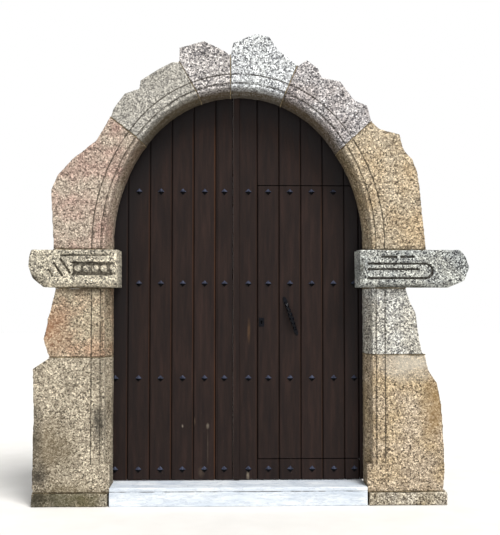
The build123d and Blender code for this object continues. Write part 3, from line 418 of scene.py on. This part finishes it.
# Each stone's own look. A stain has its middle, half sizes, colour and strength; the dark bands
# under and along the imposts' feet are painted shade. A carving has the face it is cut in, its left,
# right, foot and top, and the depths where its painted shade starts and is full.
stones = {
    "jamb_left_lower": {
        "colour": (181, 172, 155),
        "tint": (156, 148, 133),
        "crystals": warmCrystals,
        "contrast": 0.85,
        "fine": 0.7,
        "stains": [
            ((-1.36, 0.0, 0.42), (0.30, 0.5, 0.36), (112, 98, 74), 0.55),
            ((-1.02, 0.0, 0.60), (0.09, 0.4, 0.30), (58, 56, 52), 0.75),
            ((-1.50, 0.0, 0.50), (0.12, 0.4, 0.45), (66, 60, 50), 0.8),
            ((-1.25, 0.0, 0.10), (0.45, 0.5, 0.16), (96, 84, 58), 0.6),
            ((-1.47, 0.0, 0.22), (0.14, 0.5, 0.20), (48, 44, 38), 0.85),
        ],
    },
    "jamb_left_upper": {
        "colour": (173, 162, 142),
        "tint": (165, 141, 120),
        "crystals": warmCrystals,
        "contrast": 0.8,
        "fine": 0.7,
        "stains": [
            ((-1.38, 0.0, 1.28), (0.22, 0.4, 0.25), (170, 120, 86), 0.5),
            # painted shade under the left impost
            ((-1.14, 0.0, 1.575), (0.32, 0.4, 0.05), (64, 54, 40), 0.75),
        ],
    },
    "jamb_right_lower": {
        "colour": (181, 167, 148),
        "tint": (172, 155, 128),
        "crystals": warmCrystals,
        "contrast": 0.85,
        "fine": 0.7,
        "stains": [
            ((1.44, 0.0, 0.70), (0.16, 0.4, 0.45), (150, 120, 74), 0.6),
            ((1.25, 0.0, 1.02), (0.35, 0.4, 0.2), (206, 200, 186), 0.6),
        ],
    },
    "jamb_right_upper": {
        "colour": (191, 191, 186),
        "tint": (179, 176, 166),
        "crystals": greyCrystals,
        "contrast": 0.85,
        "fine": 0.75,
    },
    "springer_left": {
        "colour": (179, 167, 154),
        "tint": (173, 149, 139),
        "crystals": warmCrystals,
        "contrast": 0.75,
        "fine": 0.65,
    },
    "springer_right": {
        "colour": (185, 173, 153),
        "tint": (179, 161, 134),
        "crystals": warmCrystals,
        "contrast": 0.85,
        "fine": 0.75,
    },
    "haunch_left": {
        "colour": (179, 176, 168),
        "tint": (166, 163, 155),
        "crystals": greyCrystals,
        "contrast": 0.62,
        "fine": 0.6,
    },
    "haunch_right": {
        "colour": (180, 177, 177),
        "tint": (165, 158, 156),
        "crystals": greyCrystals,
        "contrast": 0.9,
        "fine": 0.75,
    },
    "crown_left": {
        "colour": (184, 180, 178),
        "tint": (173, 169, 167),
        "crystals": greyCrystals,
        "contrast": 0.9,
        "fine": 0.75,
    },
    "keystone": {
        "colour": (205, 209, 210),
        "tint": (196, 199, 202),
        "crystals": greyCrystals,
        "contrast": 0.85,
        "fine": 0.75,
    },
    "impost_left": {
        "colour": (195, 187, 168),
        "tint": (166, 160, 145),
        "crystals": greyCrystals,
        "contrast": 0.85,
        "fine": 0.75,
        "paintedShade": 0.88,
        "carving": (-0.060, -1.335, -0.900, 1.625, 1.835, 0.0070, 0.0122),
        "stains": [
            ((-1.50, 0.0, 1.64), (0.17, 0.4, 0.09), (46, 40, 30), 0.9),
            # painted shade along the impost's foot
            ((-1.15, 0.0, 1.583), (0.42, 0.4, 0.028), (60, 52, 38), 0.85),
        ],
    },
    "impost_right": {
        "colour": (172, 174, 168),
        "tint": (147, 151, 150),
        "crystals": greyCrystals,
        "contrast": 0.95,
        "fine": 0.8,
        "paintedShade": 0.88,
        "carving": (-0.060, 0.915, 1.44, 1.625, 1.835, 0.0045, 0.0105),
        "stains": [
            # painted shade along the impost's foot
            ((1.20, 0.0, 1.588), (0.50, 0.4, 0.036), (44, 42, 32), 0.9),
            ((0.90, 0.0, 1.72), (0.035, 0.4, 0.15), (88, 86, 74), 0.6),
        ],
    },
    "footings": {
        "colour": (172, 166, 154),
        "tint": (147, 136, 113),
        "crystals": warmCrystals,
        "contrast": 0.9,
        "fine": 0.75,
        "stains": [
            ((-1.25, 0.0, 0.04), (0.5, 0.5, 0.22), (84, 80, 56), 0.8),
            ((-1.45, 0.0, 0.05), (0.2, 0.5, 0.12), (50, 46, 36), 0.85),
        ],
    },
}

# How weather has worked on the stones, in metres
weather = {
    "voxel": 0.0050,
    "imposts": 0.0032,
    "quick": 0.009,
    "softening": 1,
    "swells": (0.16, 0.0065),  # each noise: size, depth
    "dents": (0.045, 0.0045),
    "pits": (0.013, 0.0030),
    "middle": 0.62,  # the share of the noise that lies inward
    "broken": (0.085, 0.036),  # the rough outer edges
    "brokenMiddle": 0.78,
    "outerFrom": 0.3,  # how squarely a side faces outward before it is rough
    "outerSpan": 0.4,
    "blunting": 10,
    "footings": 1.6,  # how much rougher the footings are
    "keep": 0.4,  # share of the faces kept at the end
    "keepQuick": 0.8,
}
rounding = {"reach": 0.055, "pull": 1.6, "passes": 60}  # worn edges of the imposts


def addRemesh(piece, voxel):
    remesh = piece.modifiers.new("Remesh", "REMESH")
    remesh.mode = "VOXEL"
    remesh.voxel_size = voxel


def addSmooth(piece, name, passes, group=""):
    smooth = piece.modifiers.new(name, "SMOOTH")
    smooth.vertex_group = group
    smooth.iterations = passes


def addDisplace(piece, name, size, strength, middle, group=""):
    # a cloudy noise that pushes points in and out
    texture = bpy.data.textures.new(name, "CLOUDS")
    texture.noise_scale = size
    texture.noise_depth = 2
    displace = piece.modifiers.new(name, "DISPLACE")
    displace.texture = texture
    displace.texture_coords = "LOCAL"
    displace.strength = strength
    displace.mid_level = middle
    displace.vertex_group = group


def addDecimate(piece, share):
    thin = piece.modifiers.new("Thin", "DECIMATE")
    thin.ratio = share


def markRim(piece):
    # how near each point is to the block's outer edges, for the rounding
    points = [vertex.co for vertex in piece.data.vertices]
    low = [min(point[axis] for point in points) for axis in range(3)]
    high = [max(point[axis] for point in points) for axis in range(3)]
    rim = piece.vertex_groups.new(name="rim")
    for index, point in enumerate(points):
        deep = point.y - low[1]
        aside = min(point.z - low[2], high[2] - point.z, point.x - low[0], high[0] - point.x)
        near = math.hypot(deep, aside)
        if near < rounding["reach"]:
            pull = rounding["pull"] * (1 - near / rounding["reach"])
            rim.add([index], min(1.0, pull), "REPLACE")


def markOuter(piece):
    # the sides that lie away from the opening, where the stone was never dressed
    outer = piece.vertex_groups.new(name="outer")
    centre = Vector((0.0, 0.0, arch["springing"]))
    for vertex in piece.data.vertices:
        outward = vertex.co - centre
        outward.y = 0.0
        outward.z = max(0.0, outward.z)
        facing = vertex.normal.dot(outward.normalized())
        if facing > weather["outerFrom"]:
            share = (facing - weather["outerFrom"]) / weather["outerSpan"]
            outer.add([vertex.index], min(1.0, share), "REPLACE")


def weatheredStone(nodeName, voxel, rough=1.0, rounded=False):
    piece = copyOfNode(nodeName, nodeName + "_weathered")
    addRemesh(piece, voxel)
    applyModifiers(piece)
    if rounded:
        markRim(piece)
        addSmooth(piece, "Round off", rounding["passes"], "rim")
    elif nodeName != "footings":
        markOuter(piece)
        size, depth = weather["broken"]
        addDisplace(piece, nodeName + "_broken", size, depth, weather["brokenMiddle"], "outer")
        addSmooth(piece, "Blunt", weather["blunting"], "outer")
    addSmooth(piece, "Soften", weather["softening"])
    for name in ("swells", "dents", "pits"):
        size, depth = weather[name]
        addDisplace(piece, nodeName + "_" + name, size, depth * rough, weather["middle"])
    addDecimate(piece, weather["keep"])
    applyModifiers(piece)
    bpy.ops.object.shade_smooth()
    return piece


for nodeName, look in stones.items():
    carved = nodeName.startswith("impost")
    rough = weather["footings"] if nodeName == "footings" else 1.0
    voxel = weather["imposts"] if carved else weather["voxel"]
    stone = weatheredStone(nodeName, voxel, rough, rounded=carved)
    moulded = not carved and nodeName != "footings"
    dress(stone, graniteMaterial(nodeName + "_granite", look, moulded))
    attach(stone, "surround")
    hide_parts(nodeName)
    if carved:
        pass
    elif nodeName == "footings":
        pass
    else:
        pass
    print("stone", nodeName, len(stone.data.polygons), "faces")

# Mortar, sandy and broken
mortarLook = {
    "sand": (168, 152, 122),
    "shade": (104, 92, 74),
    "lumps": (30.0, 6.0, 0.7),
    "lumpEdge": (0.35, 0.6),
    "grain": 190.0,
    "grainShare": 0.8,
    "roughness": 0.95,
    "shine": 0.15,
    "bump": 0.006,
}


def mortarMaterial():
    material, tree, shader, place = startMaterial("sandy_mortar")
    lumps = noiseOf(tree, place, *mortarLook["lumps"])
    low, high = mortarLook["lumpEdge"]
    colour = rampOf(tree, lumps, [(low, mortarLook["shade"]), (high, mortarLook["sand"])])
    sand = rampOf(tree, grainOf(tree, place, mortarLook["grain"]), fineStops)
    colour = mixOf(tree, mortarLook["grainShare"], colour, sand, "MULTIPLY")
    feed(tree, shader.inputs["Base Color"], colour)
    shader.inputs["Roughness"].default_value = mortarLook["roughness"]
    shader.inputs["Specular IOR Level"].default_value = mortarLook["shine"]
    bumpOf(tree, shader, lumps, mortarLook["bump"])
    return material


sandyMortar = mortarMaterial()
for nodeName in ("mortar_joints", "step_bed"):
    dress(nodes[nodeName], sandyMortar)

# White marble of the step
marble = {
    "white": (232, 238, 244),
    "cool": (206, 216, 228),
    "clouds": (3.2, 6.0, 0.65),
    "cloudEdge": (0.38, 0.6),
    "cloudStretch": (1.0, 2.0, 4.5),
    "vein": (158, 170, 186),
    "veins": (5.0, 8.0, 0.7),
    "veinStretch": (0.8, 2.0, 6.0),
    "veinShift": (4, 2, 1),
    "veinWidth": 0.035,
    "veinShare": 0.5,
    "dust": (176, 164, 148),
    "specks": (130.0, 2.0, 0.8),
    "speckEdge": (0.68, 0.76),
    "speckShare": 0.75,
    # painted shadow under the tread's nosing
    "nosingShadow": (70, 66, 62),
    "joint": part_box("step_tread")[0].z,  # where the tread meets the riser
    "jointNoise": (7.0, 4.0, 0.7),
    "jointStretch": (1, 1, 0.2),
    "jointEdge": (0.42, 0.56),
    "jointWidth": (0.0012, 0.0045),
    "jointShare": 0.85,
    "roughness": 0.5,
    "shine": 0.3,
    "bump": 0.001,
}


def marbleMaterial():
    material, tree, shader, place = startMaterial("white_marble")
    clouds = noiseOf(tree, stretched(tree, place, marble["cloudStretch"]), *marble["clouds"])
    low, high = marble["cloudEdge"]
    colour = rampOf(tree, clouds, [(low, marble["cool"]), (high, marble["white"])])
    veins = noiseOf(
        tree, stretched(tree, place, marble["veinStretch"], marble["veinShift"]), *marble["veins"]
    )
    vein = greyRamp(tree, offFrom(tree, veins, 0.5), 0.0, marble["veinWidth"], marble["veinShare"], 0.0)
    colour = mixOf(tree, vein, colour, linear(marble["vein"]))
    specks = noiseOf(tree, place, *marble["specks"])
    dusty = greyRamp(tree, specks, *marble["speckEdge"], 0.0, marble["speckShare"])
    colour = mixOf(tree, dusty, colour, linear(marble["dust"]))

    # painted shadow line along the joint under the tread's nosing, broken in places
    off = offFrom(tree, axesOf(tree, place)["Z"], marble["joint"])
    breakNoise = noiseOf(tree, stretched(tree, place, marble["jointStretch"]), *marble["jointNoise"])
    shadowShows = greyRamp(tree, breakNoise, *marble["jointEdge"])
    joint = times(tree, greyRamp(tree, off, *marble["jointWidth"], marble["jointShare"], 0.0), shadowShows)
    colour = mixOf(tree, joint, colour, linear(marble["nosingShadow"]))
    feed(tree, shader.inputs["Base Color"], colour)
    shader.inputs["Roughness"].default_value = marble["roughness"]
    shader.inputs["Specular IOR Level"].default_value = marble["shine"]
    bumpOf(tree, shader, specks, marble["bump"])
    return material


marbleFinish = marbleMaterial()
chips = {
    "voxel": 0.0035,
    "quick": 0.008,
    "softening": 2,
    "size": 0.03,
    "depth": 0.0022,
    "middle": 0.75,
    "keep": 0.12,
    "keepQuick": 0.5,
}
for nodeName in ("step_riser", "step_tread"):
    slab = copyOfNode(nodeName, nodeName + "_worn")
    addRemesh(slab, chips["voxel"])
    addSmooth(slab, "Soften", chips["softening"])
    addDisplace(slab, nodeName + "_chips", chips["size"], chips["depth"], chips["middle"])
    addDecimate(slab, chips["keep"])
    applyModifiers(slab)
    bpy.ops.object.shade_smooth()
    dress(slab, marbleFinish)
    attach(slab, "surround")
    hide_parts(nodeName)
    print("slab", nodeName, len(slab.data.polygons), "faces")

# Varnished planks, dark brown with the grain upright
# (noises and edges as on the granite, stretches along X, Y and Z)
wood = {
    "dark": (27, 18, 17),
    "middle": (36, 25, 22),
    "light": (47, 33, 29),
    # edge colours, put on the side of each plank that faces the light: worn varnish and partly a
    # painted highlight
    "edge": (76, 46, 24),
    "rightEdge": (60, 40, 26),
    "ledgeEdge": (60, 46, 38),
    "seam": (9, 7, 7),
    "archShade": (22, 18, 19),
    "dust": (120, 108, 92),
    "fibres": (190.0, 4.0, 0.6),
    "fibreStretch": (1.0, 1.0, 0.03),
    "fibreShare": 0.45,
    "figure": (26.0, 4.0, 0.6),
    "figureStretch": (1.0, 1.0, 0.10),
    "pitch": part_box("left_plank_4")[1].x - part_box("left_plank_3")[1].x,
    "leftSeam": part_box("left_plank_4")[1].x + 0.0015,  # middle of a joint
    "rightSeam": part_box("wicket_plank_2")[1].x + 0.0015,
    "ledgeSeam": 0.3,
    "tones": (0.86, 1.12),  # the darkest and the lightest plank
    "edgeWidth": 0.06,  # share of a plank's width
    "edgeWander": 0.02,
    "wander": (1.6, 3.0, 0.6),
    "wanderStretch": (0.2, 0.2, 1.0),
    "wearScale": 6.0,
    "wearStretch": (1.0, 1.0, 0.35),
    "wearEdge": (0.36, 0.6),
    "wearShare": (0.3, 0.95),
    "plankWear": (0.25, 0.9),
    "seamWidth": 0.022,
    "seamShare": 0.95,
    "stainNoise": (120.0, 4.0, 0.75),
    "stainStretch": (1, 1, 0.25),
    "stainEdge": (0.1, 0.5),
    "dots": (95.0, 2.0, 0.9),
    "dotEdge": (0.70, 0.76),
    "dotHeights": (0.2, 1.2),
    "dotShare": 0.55,
    "shadeReach": (-0.20, -0.07),  # from the opening's edge
    "shadeShare": 0.85,
    "shadeHeights": (0.5, 1.5),
    "shadeLow": 0.25,
    "roughness": (0.46, 0.62),
    "shine": 0.16,
    "bump": 0.0012,
}
# stains on the planks, as on the stones
stains = [
    ((0.079, leafFace, 1.26), (0.019, 0.1, 0.14), (104, 78, 52), 0.42),
    ((-0.232, leafFace, 0.545), (0.016, 0.1, 0.035), (132, 122, 108), 0.75),
    ((-0.232, leafFace, 0.38), (0.007, 0.1, 0.20), (96, 84, 72), 0.45),
    ((-0.422, leafFace, 0.545), (0.011, 0.1, 0.02), (140, 130, 118), 0.8),
    ((-0.330, leafFace, 0.58), (0.008, 0.1, 0.05), (100, 84, 68), 0.6),
    ((0.072, leafFace, 0.17), (0.018, 0.1, 0.06), (150, 138, 120), 0.7),
    ((-0.280, leafFace, 0.20), (0.04, 0.1, 0.06), (92, 78, 66), 0.5),
]


def markedPlanks(tree, place, axes, across, colour):
    # dark joints, single stains, dust from the step, and painted shade where the arch shades the boards
    off = mathOf(tree, "MINIMUM", across, mathOf(tree, "SUBTRACT", 1.0, across))
    joint = greyRamp(tree, off, 0.5 * wood["seamWidth"], wood["seamWidth"], wood["seamShare"], 0.0)
    colour = mixOf(tree, joint, colour, linear(wood["seam"]))
    ragged = noiseOf(tree, stretched(tree, place, wood["stainStretch"]), *wood["stainNoise"])
    for centre, reach, stain, strength in stains:
        spot = times(tree, spotOf(tree, place, centre, reach), ragged)
        cover = greyRamp(tree, spot, *wood["stainEdge"], 0.0, strength)
        colour = mixOf(tree, cover, colour, linear(stain))
    dust = greyRamp(tree, noiseOf(tree, place, *wood["dots"]), *wood["dotEdge"])
    low = greyRamp(tree, axes["Z"], *wood["dotHeights"], wood["dotShare"], 0.0)
    colour = mixOf(tree, times(tree, dust, low), colour, linear(wood["dust"]))
    # painted shade near the arch's edge, less towards the foot
    near = greyRamp(tree, beyondArch(tree, axes), *wood["shadeReach"], 0.0, wood["shadeShare"])
    high = greyRamp(tree, axes["Z"], *wood["shadeHeights"], wood["shadeLow"], 1.0)
    return mixOf(tree, times(tree, near, high), colour, linear(wood["archShade"]))


def plankMaterial(name, seam, wornLitEdgeColour, marked=True):
    material, tree, shader, place = startMaterial(name)
    axes = axesOf(tree, place)
    fibres = noiseOf(tree, stretched(tree, place, wood["fibreStretch"]), *wood["fibres"])
    figure = noiseOf(tree, stretched(tree, place, wood["figureStretch"]), *wood["figure"])
    colour = rampOf(tree, figure, [(0.3, wood["dark"]), (0.5, wood["middle"]), (0.7, wood["light"])])
    colour = mixOf(tree, wood["fibreShare"], colour, rampOf(tree, fibres, fibreStops), "MULTIPLY")

    # each plank a little lighter or darker than the next
    count = mathOf(tree, "DIVIDE", mathOf(tree, "SUBTRACT", axes["X"], seam), wood["pitch"])
    which = tree.nodes.new("ShaderNodeTexWhiteNoise")
    which.noise_dimensions = "1D"
    feed(tree, which.inputs["W"], mathOf(tree, "FLOOR", count))
    tone = greyRamp(tree, which.outputs["Value"], 0.0, 1.0, *wood["tones"])
    colour = mixOf(tree, 1.0, colour, tone, "MULTIPLY")

    # worn varnish along one edge of each plank; on the edge that faces the light, it is partly a
    # painted highlight
    across = mathOf(tree, "FRACT", count)
    wander = noiseOf(tree, stretched(tree, place, wood["wanderStretch"]), *wood["wander"])
    wander = times(tree, wander, wood["edgeWander"])
    start = mathOf(tree, "SUBTRACT", 1.0 - wood["edgeWidth"], wander)
    worn = noiseOf(tree, stretched(tree, place, wood["wearStretch"]), wood["wearScale"])
    strip = times(
        tree,
        mathOf(tree, "GREATER_THAN", across, start),
        greyRamp(tree, worn, *wood["wearEdge"], *wood["wearShare"]),
        greyRamp(tree, which.outputs["Value"], 0.0, 1.0, *wood["plankWear"]),
    )
    colour = mixOf(tree, strip, colour, linear(wornLitEdgeColour))
    if marked:
        colour = markedPlanks(tree, place, axes, across, colour)
    feed(tree, shader.inputs["Base Color"], colour)
    feed(tree, shader.inputs["Roughness"], greyRamp(tree, figure, 0.3, 0.7, *wood["roughness"]))
    shader.inputs["Specular IOR Level"].default_value = wood["shine"]
    bumpOf(tree, shader, fibres, wood["bump"])
    return material


fibreStops = [
    (0.30, (0.55, 0.53, 0.52, 1)),
    (0.5, (1.0, 1.0, 1.0, 1)),
    (0.72, (1.28, 1.25, 1.22, 1)),
]
leftWood = plankMaterial("left_plank_wood", wood["leftSeam"], wood["edge"])
rightWood = plankMaterial("right_plank_wood", wood["rightSeam"], wood["rightEdge"])
ledgeWood = plankMaterial("ledge_wood", wood["ledgeSeam"], wood["ledgeEdge"], marked=False)

woodPieces = {
    "left_plank": leftWood,
    "right_plank": rightWood,
    "right_upper_planks": rightWood,
    "right_foot_planks": rightWood,
    "right_edge_plank": rightWood,
    "wicket_plank": rightWood,
    "cover_strip": ledgeWood,
    "left_ledges": ledgeWood,
    "wicket_ledges": ledgeWood,
    "left_head_rail": ledgeWood,
    "right_head_rail": ledgeWood,
    "right_meeting_stile": ledgeWood,
    "right_bottom_rail": ledgeWood,
    "right_header_rail": ledgeWood,
    "right_hanging_stile": ledgeWood,
    "wicket_lock_block": ledgeWood,
}


# Arrises taken off with a fine bevel, in metres
arris = {"wood": 0.0012, "stud": 0.0009, "iron": 0.0006, "segments": 2, "angle": math.radians(28)}


def softenEdges(piece, width):
    weld = piece.modifiers.new("Weld", "WELD")
    weld.merge_threshold = mergeReach
    bevel = piece.modifiers.new("Bevel", "BEVEL")
    bevel.width = width
    bevel.segments = arris["segments"]
    bevel.limit_method = "ANGLE"
    bevel.angle_limit = arris["angle"]
    bevel.harden_normals = True


for nodeName, node in nodes.items():
    for start, finish in woodPieces.items():
        if nodeName.startswith(start):
            dress(node, finish)
            softenEdges(node, arris["wood"])
print("planks, rails and ledges varnished")

# Cover strip, its edge closed to a hair against the left leaf
closing = {"aside": -0.00085, "up": 0.018, "edgeBand": 0.006, "topBand": 0.05}
coverStrip = copyOfNode("cover_strip", "cover_strip_fitted")
stripLow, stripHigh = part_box("cover_strip")
for edge, move in (("left", (closing["aside"], 0, 0)), ("top", (0, 0, closing["up"]))):
    makeActive(coverStrip)
    bpy.ops.object.mode_set(mode="EDIT")
    bpy.ops.mesh.select_all(action="DESELECT")
    bpy.ops.object.mode_set(mode="OBJECT")
    for vertex in coverStrip.data.vertices:
        if edge == "left":
            vertex.select = vertex.co.x < stripLow.x + closing["edgeBand"]
        else:
            vertex.select = vertex.co.z > stripHigh.z - closing["topBand"]
    bpy.ops.object.mode_set(mode="EDIT")
    bpy.ops.transform.translate(value=move)
    bpy.ops.object.mode_set(mode="OBJECT")
dress(coverStrip, ledgeWood)
softenEdges(coverStrip, arris["wood"])
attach(coverStrip, "right_leaf")
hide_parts("cover_strip")
print("cover strip fitted")

# Blue-black iron
rustSpots = {"colour": (58, 40, 30), "noise": (24.0, 5.0, 0.7), "edge": (0.60, 0.70)}
iron = {
    "mottle": (60.0, 4.0, 0.6),
    "roughness": (0.38, 0.6),
    "metal": 0.05,
    "hammer": (90.0, 3.0, 0.6),
    "bump": 0.002,
    "paintedShadeBelow": (0.05, 0.6),  # how far upward a slope faces before it loses the painted shade
    # the painted shade colour of the lower slopes
    "pitch": (5, 5, 8),
}
studLook = {"dark": (36, 39, 50), "light": (84, 90, 112), "rust": 0.1, "shine": 0.08, "polish": 0.0}
strapLook = {"dark": (20, 21, 25), "light": (38, 42, 52), "rust": 0.6, "shine": 0.3, "polish": 0.0}
handleLook = {"dark": (5, 5, 8), "light": (12, 14, 22), "rust": 0.1, "shine": 0.12, "polish": 0.24}


def ironMaterial(name, look, paintedShadeBelow=False):
    material, tree, shader, place = startMaterial(name)
    mottle = noiseOf(tree, place, *iron["mottle"])
    colour = rampOf(tree, mottle, [(0.35, look["dark"]), (0.65, look["light"])])
    rust = noiseOf(tree, place, *rustSpots["noise"])
    spots = greyRamp(tree, rust, *rustSpots["edge"], 0.0, look["rust"])
    colour = mixOf(tree, spots, colour, linear(rustSpots["colour"]))
    if paintedShadeBelow:
        # painted shade: the lower slopes are painted near black, the upper ones keep the iron's colour
        normal = tree.nodes.new("ShaderNodeNewGeometry").outputs["Normal"]
        upward = greyRamp(tree, axesOf(tree, normal)["Z"], *iron["paintedShadeBelow"])
        colour = mixOf(tree, upward, linear(iron["pitch"]), colour)
    feed(tree, shader.inputs["Base Color"], colour)
    shader.inputs["Metallic"].default_value = iron["metal"]
    shader.inputs["Specular IOR Level"].default_value = look["shine"]
    smooth, rough = [value - look["polish"] for value in iron["roughness"]]
    feed(tree, shader.inputs["Roughness"], greyRamp(tree, mottle, 0.3, 0.7, smooth, rough))
    bumpOf(tree, shader, noiseOf(tree, place, *iron["hammer"]), iron["bump"])
    return material


studIron = ironMaterial("stud_iron_finish", studLook, paintedShadeBelow=True)
plainIron = ironMaterial("strap_iron_finish", strapLook)
handleIron = ironMaterial("handle_iron_finish", handleLook)
dress(nodes["key_escutcheon"], handleIron)
softenEdges(nodes["key_escutcheon"], arris["stud"])
for nodeName in ("left_studs", "right_studs", "wicket_studs"):
    dress(nodes[nodeName], studIron)
    softenEdges(nodes[nodeName], arris["stud"])
for nodeName in (
    "left_straps",
    "right_straps",
    "wicket_straps",
    "leaf_pintles",
    "wicket_pintles",
    "left_bolt_guides",
    "right_bolt_guides",
    "left_foot_bolt",
    "right_foot_bolt",
    "cross_bolt",
    "lock_case",
    "lock_bolt",
    "lock_keeper",
):
    dress(nodes[nodeName], plainIron)
    softenEdges(nodes[nodeName], arris["iron"])
print("ironwork finished")

# Pull handle: a twisted grip that bows out between two flattened ends
handle = {
    "middle": (0.3955, leafFace, 1.3745),
    "lean": math.radians(19.4),
    "span": 0.226,
    "stand": 0.040,
    "thick": 0.0250,
    "thinEnd": 0.8,  # the bar's ends against its middle
    "setOff": 0.004,  # middle of the bar's ends, before the boards
    "headroom": 0.012,
    "turns": 1.6,
    "steps": 56,
    "swell": 1.02,
    "taper": 0.985,
    "belly": -0.1,  # where the swelling turns into the taper, from -1 to 1
    "evenEnds": 0.75,
    "plate": (0.030, 0.0055, 0.074),
    "plateGap": 0.006,
    "plateSides": 24,
    "bevel": 0.0014,
    "bevelAngle": math.radians(40),
    "smoothAngle": math.radians(35),
}


def makeGrip():
    # a square bar drawn upright, section by section, each a little further round
    deselectAll()
    half = handle["span"] / 2
    out = handle["setOff"]
    bpy.ops.mesh.primitive_plane_add(size=handle["thick"], location=(0, -out, -half))
    grip = bpy.context.object
    grip.name = "pull_handle_grip"
    bpy.ops.object.transform_apply(location=True, rotation=False, scale=False)
    bpy.ops.object.mode_set(mode="EDIT")
    bpy.ops.mesh.select_all(action="SELECT")
    bpy.ops.transform.resize(value=(handle["thinEnd"], handle["thinEnd"], 1))
    rise = handle["span"] / handle["steps"]
    turn = 2 * math.pi * handle["turns"] / handle["steps"]
    for step in range(1, handle["steps"] + 1):
        along = 2 * step / handle["steps"] - 1
        reach = handle["setOff"] + (handle["stand"] - handle["headroom"]) * (1 - along**4)
        bpy.ops.mesh.extrude_region_move(
            TRANSFORM_OT_translate={"value": (0, out - reach, rise)}
        )
        out = reach
        centre = (0, -out, step * rise - half)
        bpy.ops.transform.rotate(value=turn, orient_axis="Z", center_override=centre)
        if abs(along) < handle["evenEnds"]:
            grow = handle["swell"] if along < handle["belly"] else handle["taper"]
            bpy.ops.transform.resize(value=(grow, grow, 1), center_override=centre)
    bpy.ops.mesh.select_all(action="SELECT")
    bpy.ops.mesh.normals_make_consistent(inside=False)
    bpy.ops.object.mode_set(mode="OBJECT")
    return grip


def makePlates():
    # two oval plates, one at each end
    plates = []
    width, depth, length = handle["plate"]
    for side in (-1, 1):
        deselectAll()
        bpy.ops.mesh.primitive_cylinder_add(
            vertices=handle["plateSides"], radius=0.5, depth=1, rotation=(math.pi / 2, 0, 0)
        )
        plate = bpy.context.object
        plate.scale = (width, length, depth)
        plate.location = (0, -depth / 2, side * (handle["span"] / 2 + handle["plateGap"]))
        bpy.ops.object.transform_apply(location=True, rotation=True, scale=True)
        plates.append(plate)
    return plates


def makeHandle():
    grip = makeGrip()
    plates = makePlates()
    deselectAll()
    for piece in [grip, *plates]:
        piece.select_set(True)
    bpy.context.view_layer.objects.active = grip
    bpy.ops.object.join()
    bevel = grip.modifiers.new("Bevel", "BEVEL")
    bevel.width = handle["bevel"]
    bevel.segments = 2
    bevel.limit_method = "ANGLE"
    bevel.angle_limit = handle["bevelAngle"]
    grip.rotation_euler = (0, -handle["lean"], 0)
    grip.location = handle["middle"]
    makeActive(grip)
    bpy.ops.object.transform_apply(location=True, rotation=True, scale=True)
    applyModifiers(grip)
    bpy.ops.object.shade_smooth_by_angle(angle=handle["smoothAngle"])
    return grip


pullHandle = makeHandle()
dress(pullHandle, handleIron)
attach(pullHandle, "wicket")
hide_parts("pull_handle")
print("handle forged")

# Floor, light and camera
studio = {
    "floor": (232, 231, 228),
    "floorLight": (238, 237, 235),
    "floorClouds": (3.0, 2.0),
    "floorSize": 60,
    "floorDrop": 0.0015,
    "floorRoughness": 0.9,
    "room": 0.48,
    "key": 3.25,
    "keyColour": (1.0, 0.98, 0.95),
    "keyFrom": Vector((0.42, -0.62, 1.05)),
    "keySpread": math.radians(26),
}


def makeFloor():
    deselectAll()
    bpy.ops.mesh.primitive_plane_add(size=studio["floorSize"], location=(0, 0, -studio["floorDrop"]))
    floor = bpy.context.object
    floor.name = "studio_floor"
    material, tree, shader, place = startMaterial("studio_floor_paint")
    clouds = noiseOf(tree, place, *studio["floorClouds"])
    colour = rampOf(tree, clouds, [(0.3, studio["floor"]), (0.7, studio["floorLight"])])
    feed(tree, shader.inputs["Base Color"], colour)
    shader.inputs["Roughness"].default_value = studio["floorRoughness"]
    floor.data.materials.append(material)


def makeWorld():
    world = bpy.data.worlds.new("studio_room")
    scene.world = world
    world.use_nodes = True
    tree = world.node_tree
    background = tree.nodes["Background"]
    path = tree.nodes.new("ShaderNodeLightPath")
    seen = mathOf(tree, "MAXIMUM", path.outputs["Is Camera Ray"], path.outputs["Is Glossy Ray"])
    background.inputs["Color"].default_value = (1.0, 1.0, 1.0, 1.0)
    feed(tree, background.inputs["Strength"], greyRamp(tree, seen, 0, 1, studio["room"], 1.0))


def makeKeyLight():
    lamp = bpy.data.lights.new("key_light", "SUN")
    lamp.energy = studio["key"]
    lamp.angle = studio["keySpread"]
    lamp.color = studio["keyColour"]
    key = bpy.data.objects.new("key_light", lamp)
    key.rotation_mode = "QUATERNION"
    key.rotation_quaternion = studio["keyFrom"].to_track_quat("Z", "Y")
    scene.collection.objects.link(key)


view = {
    "place": (-0.065, -6.4, 1.512),
    "pitch": math.radians(92.0),
    "yaw": math.radians(-1.32),
    "lens": 58.6,
    "sensor": 36,
}


def makeCamera():
    lens = bpy.data.cameras.new("camera")
    lens.lens = view["lens"]
    lens.sensor_width = view["sensor"]
    camera = bpy.data.objects.new("camera", lens)
    camera.location = view["place"]
    camera.rotation_euler = (view["pitch"], 0, view["yaw"])
    scene.collection.objects.link(camera)
    scene.camera = camera


makeFloor()
makeWorld()
makeKeyLight()
makeCamera()
deselectAll()
print("studio ready")
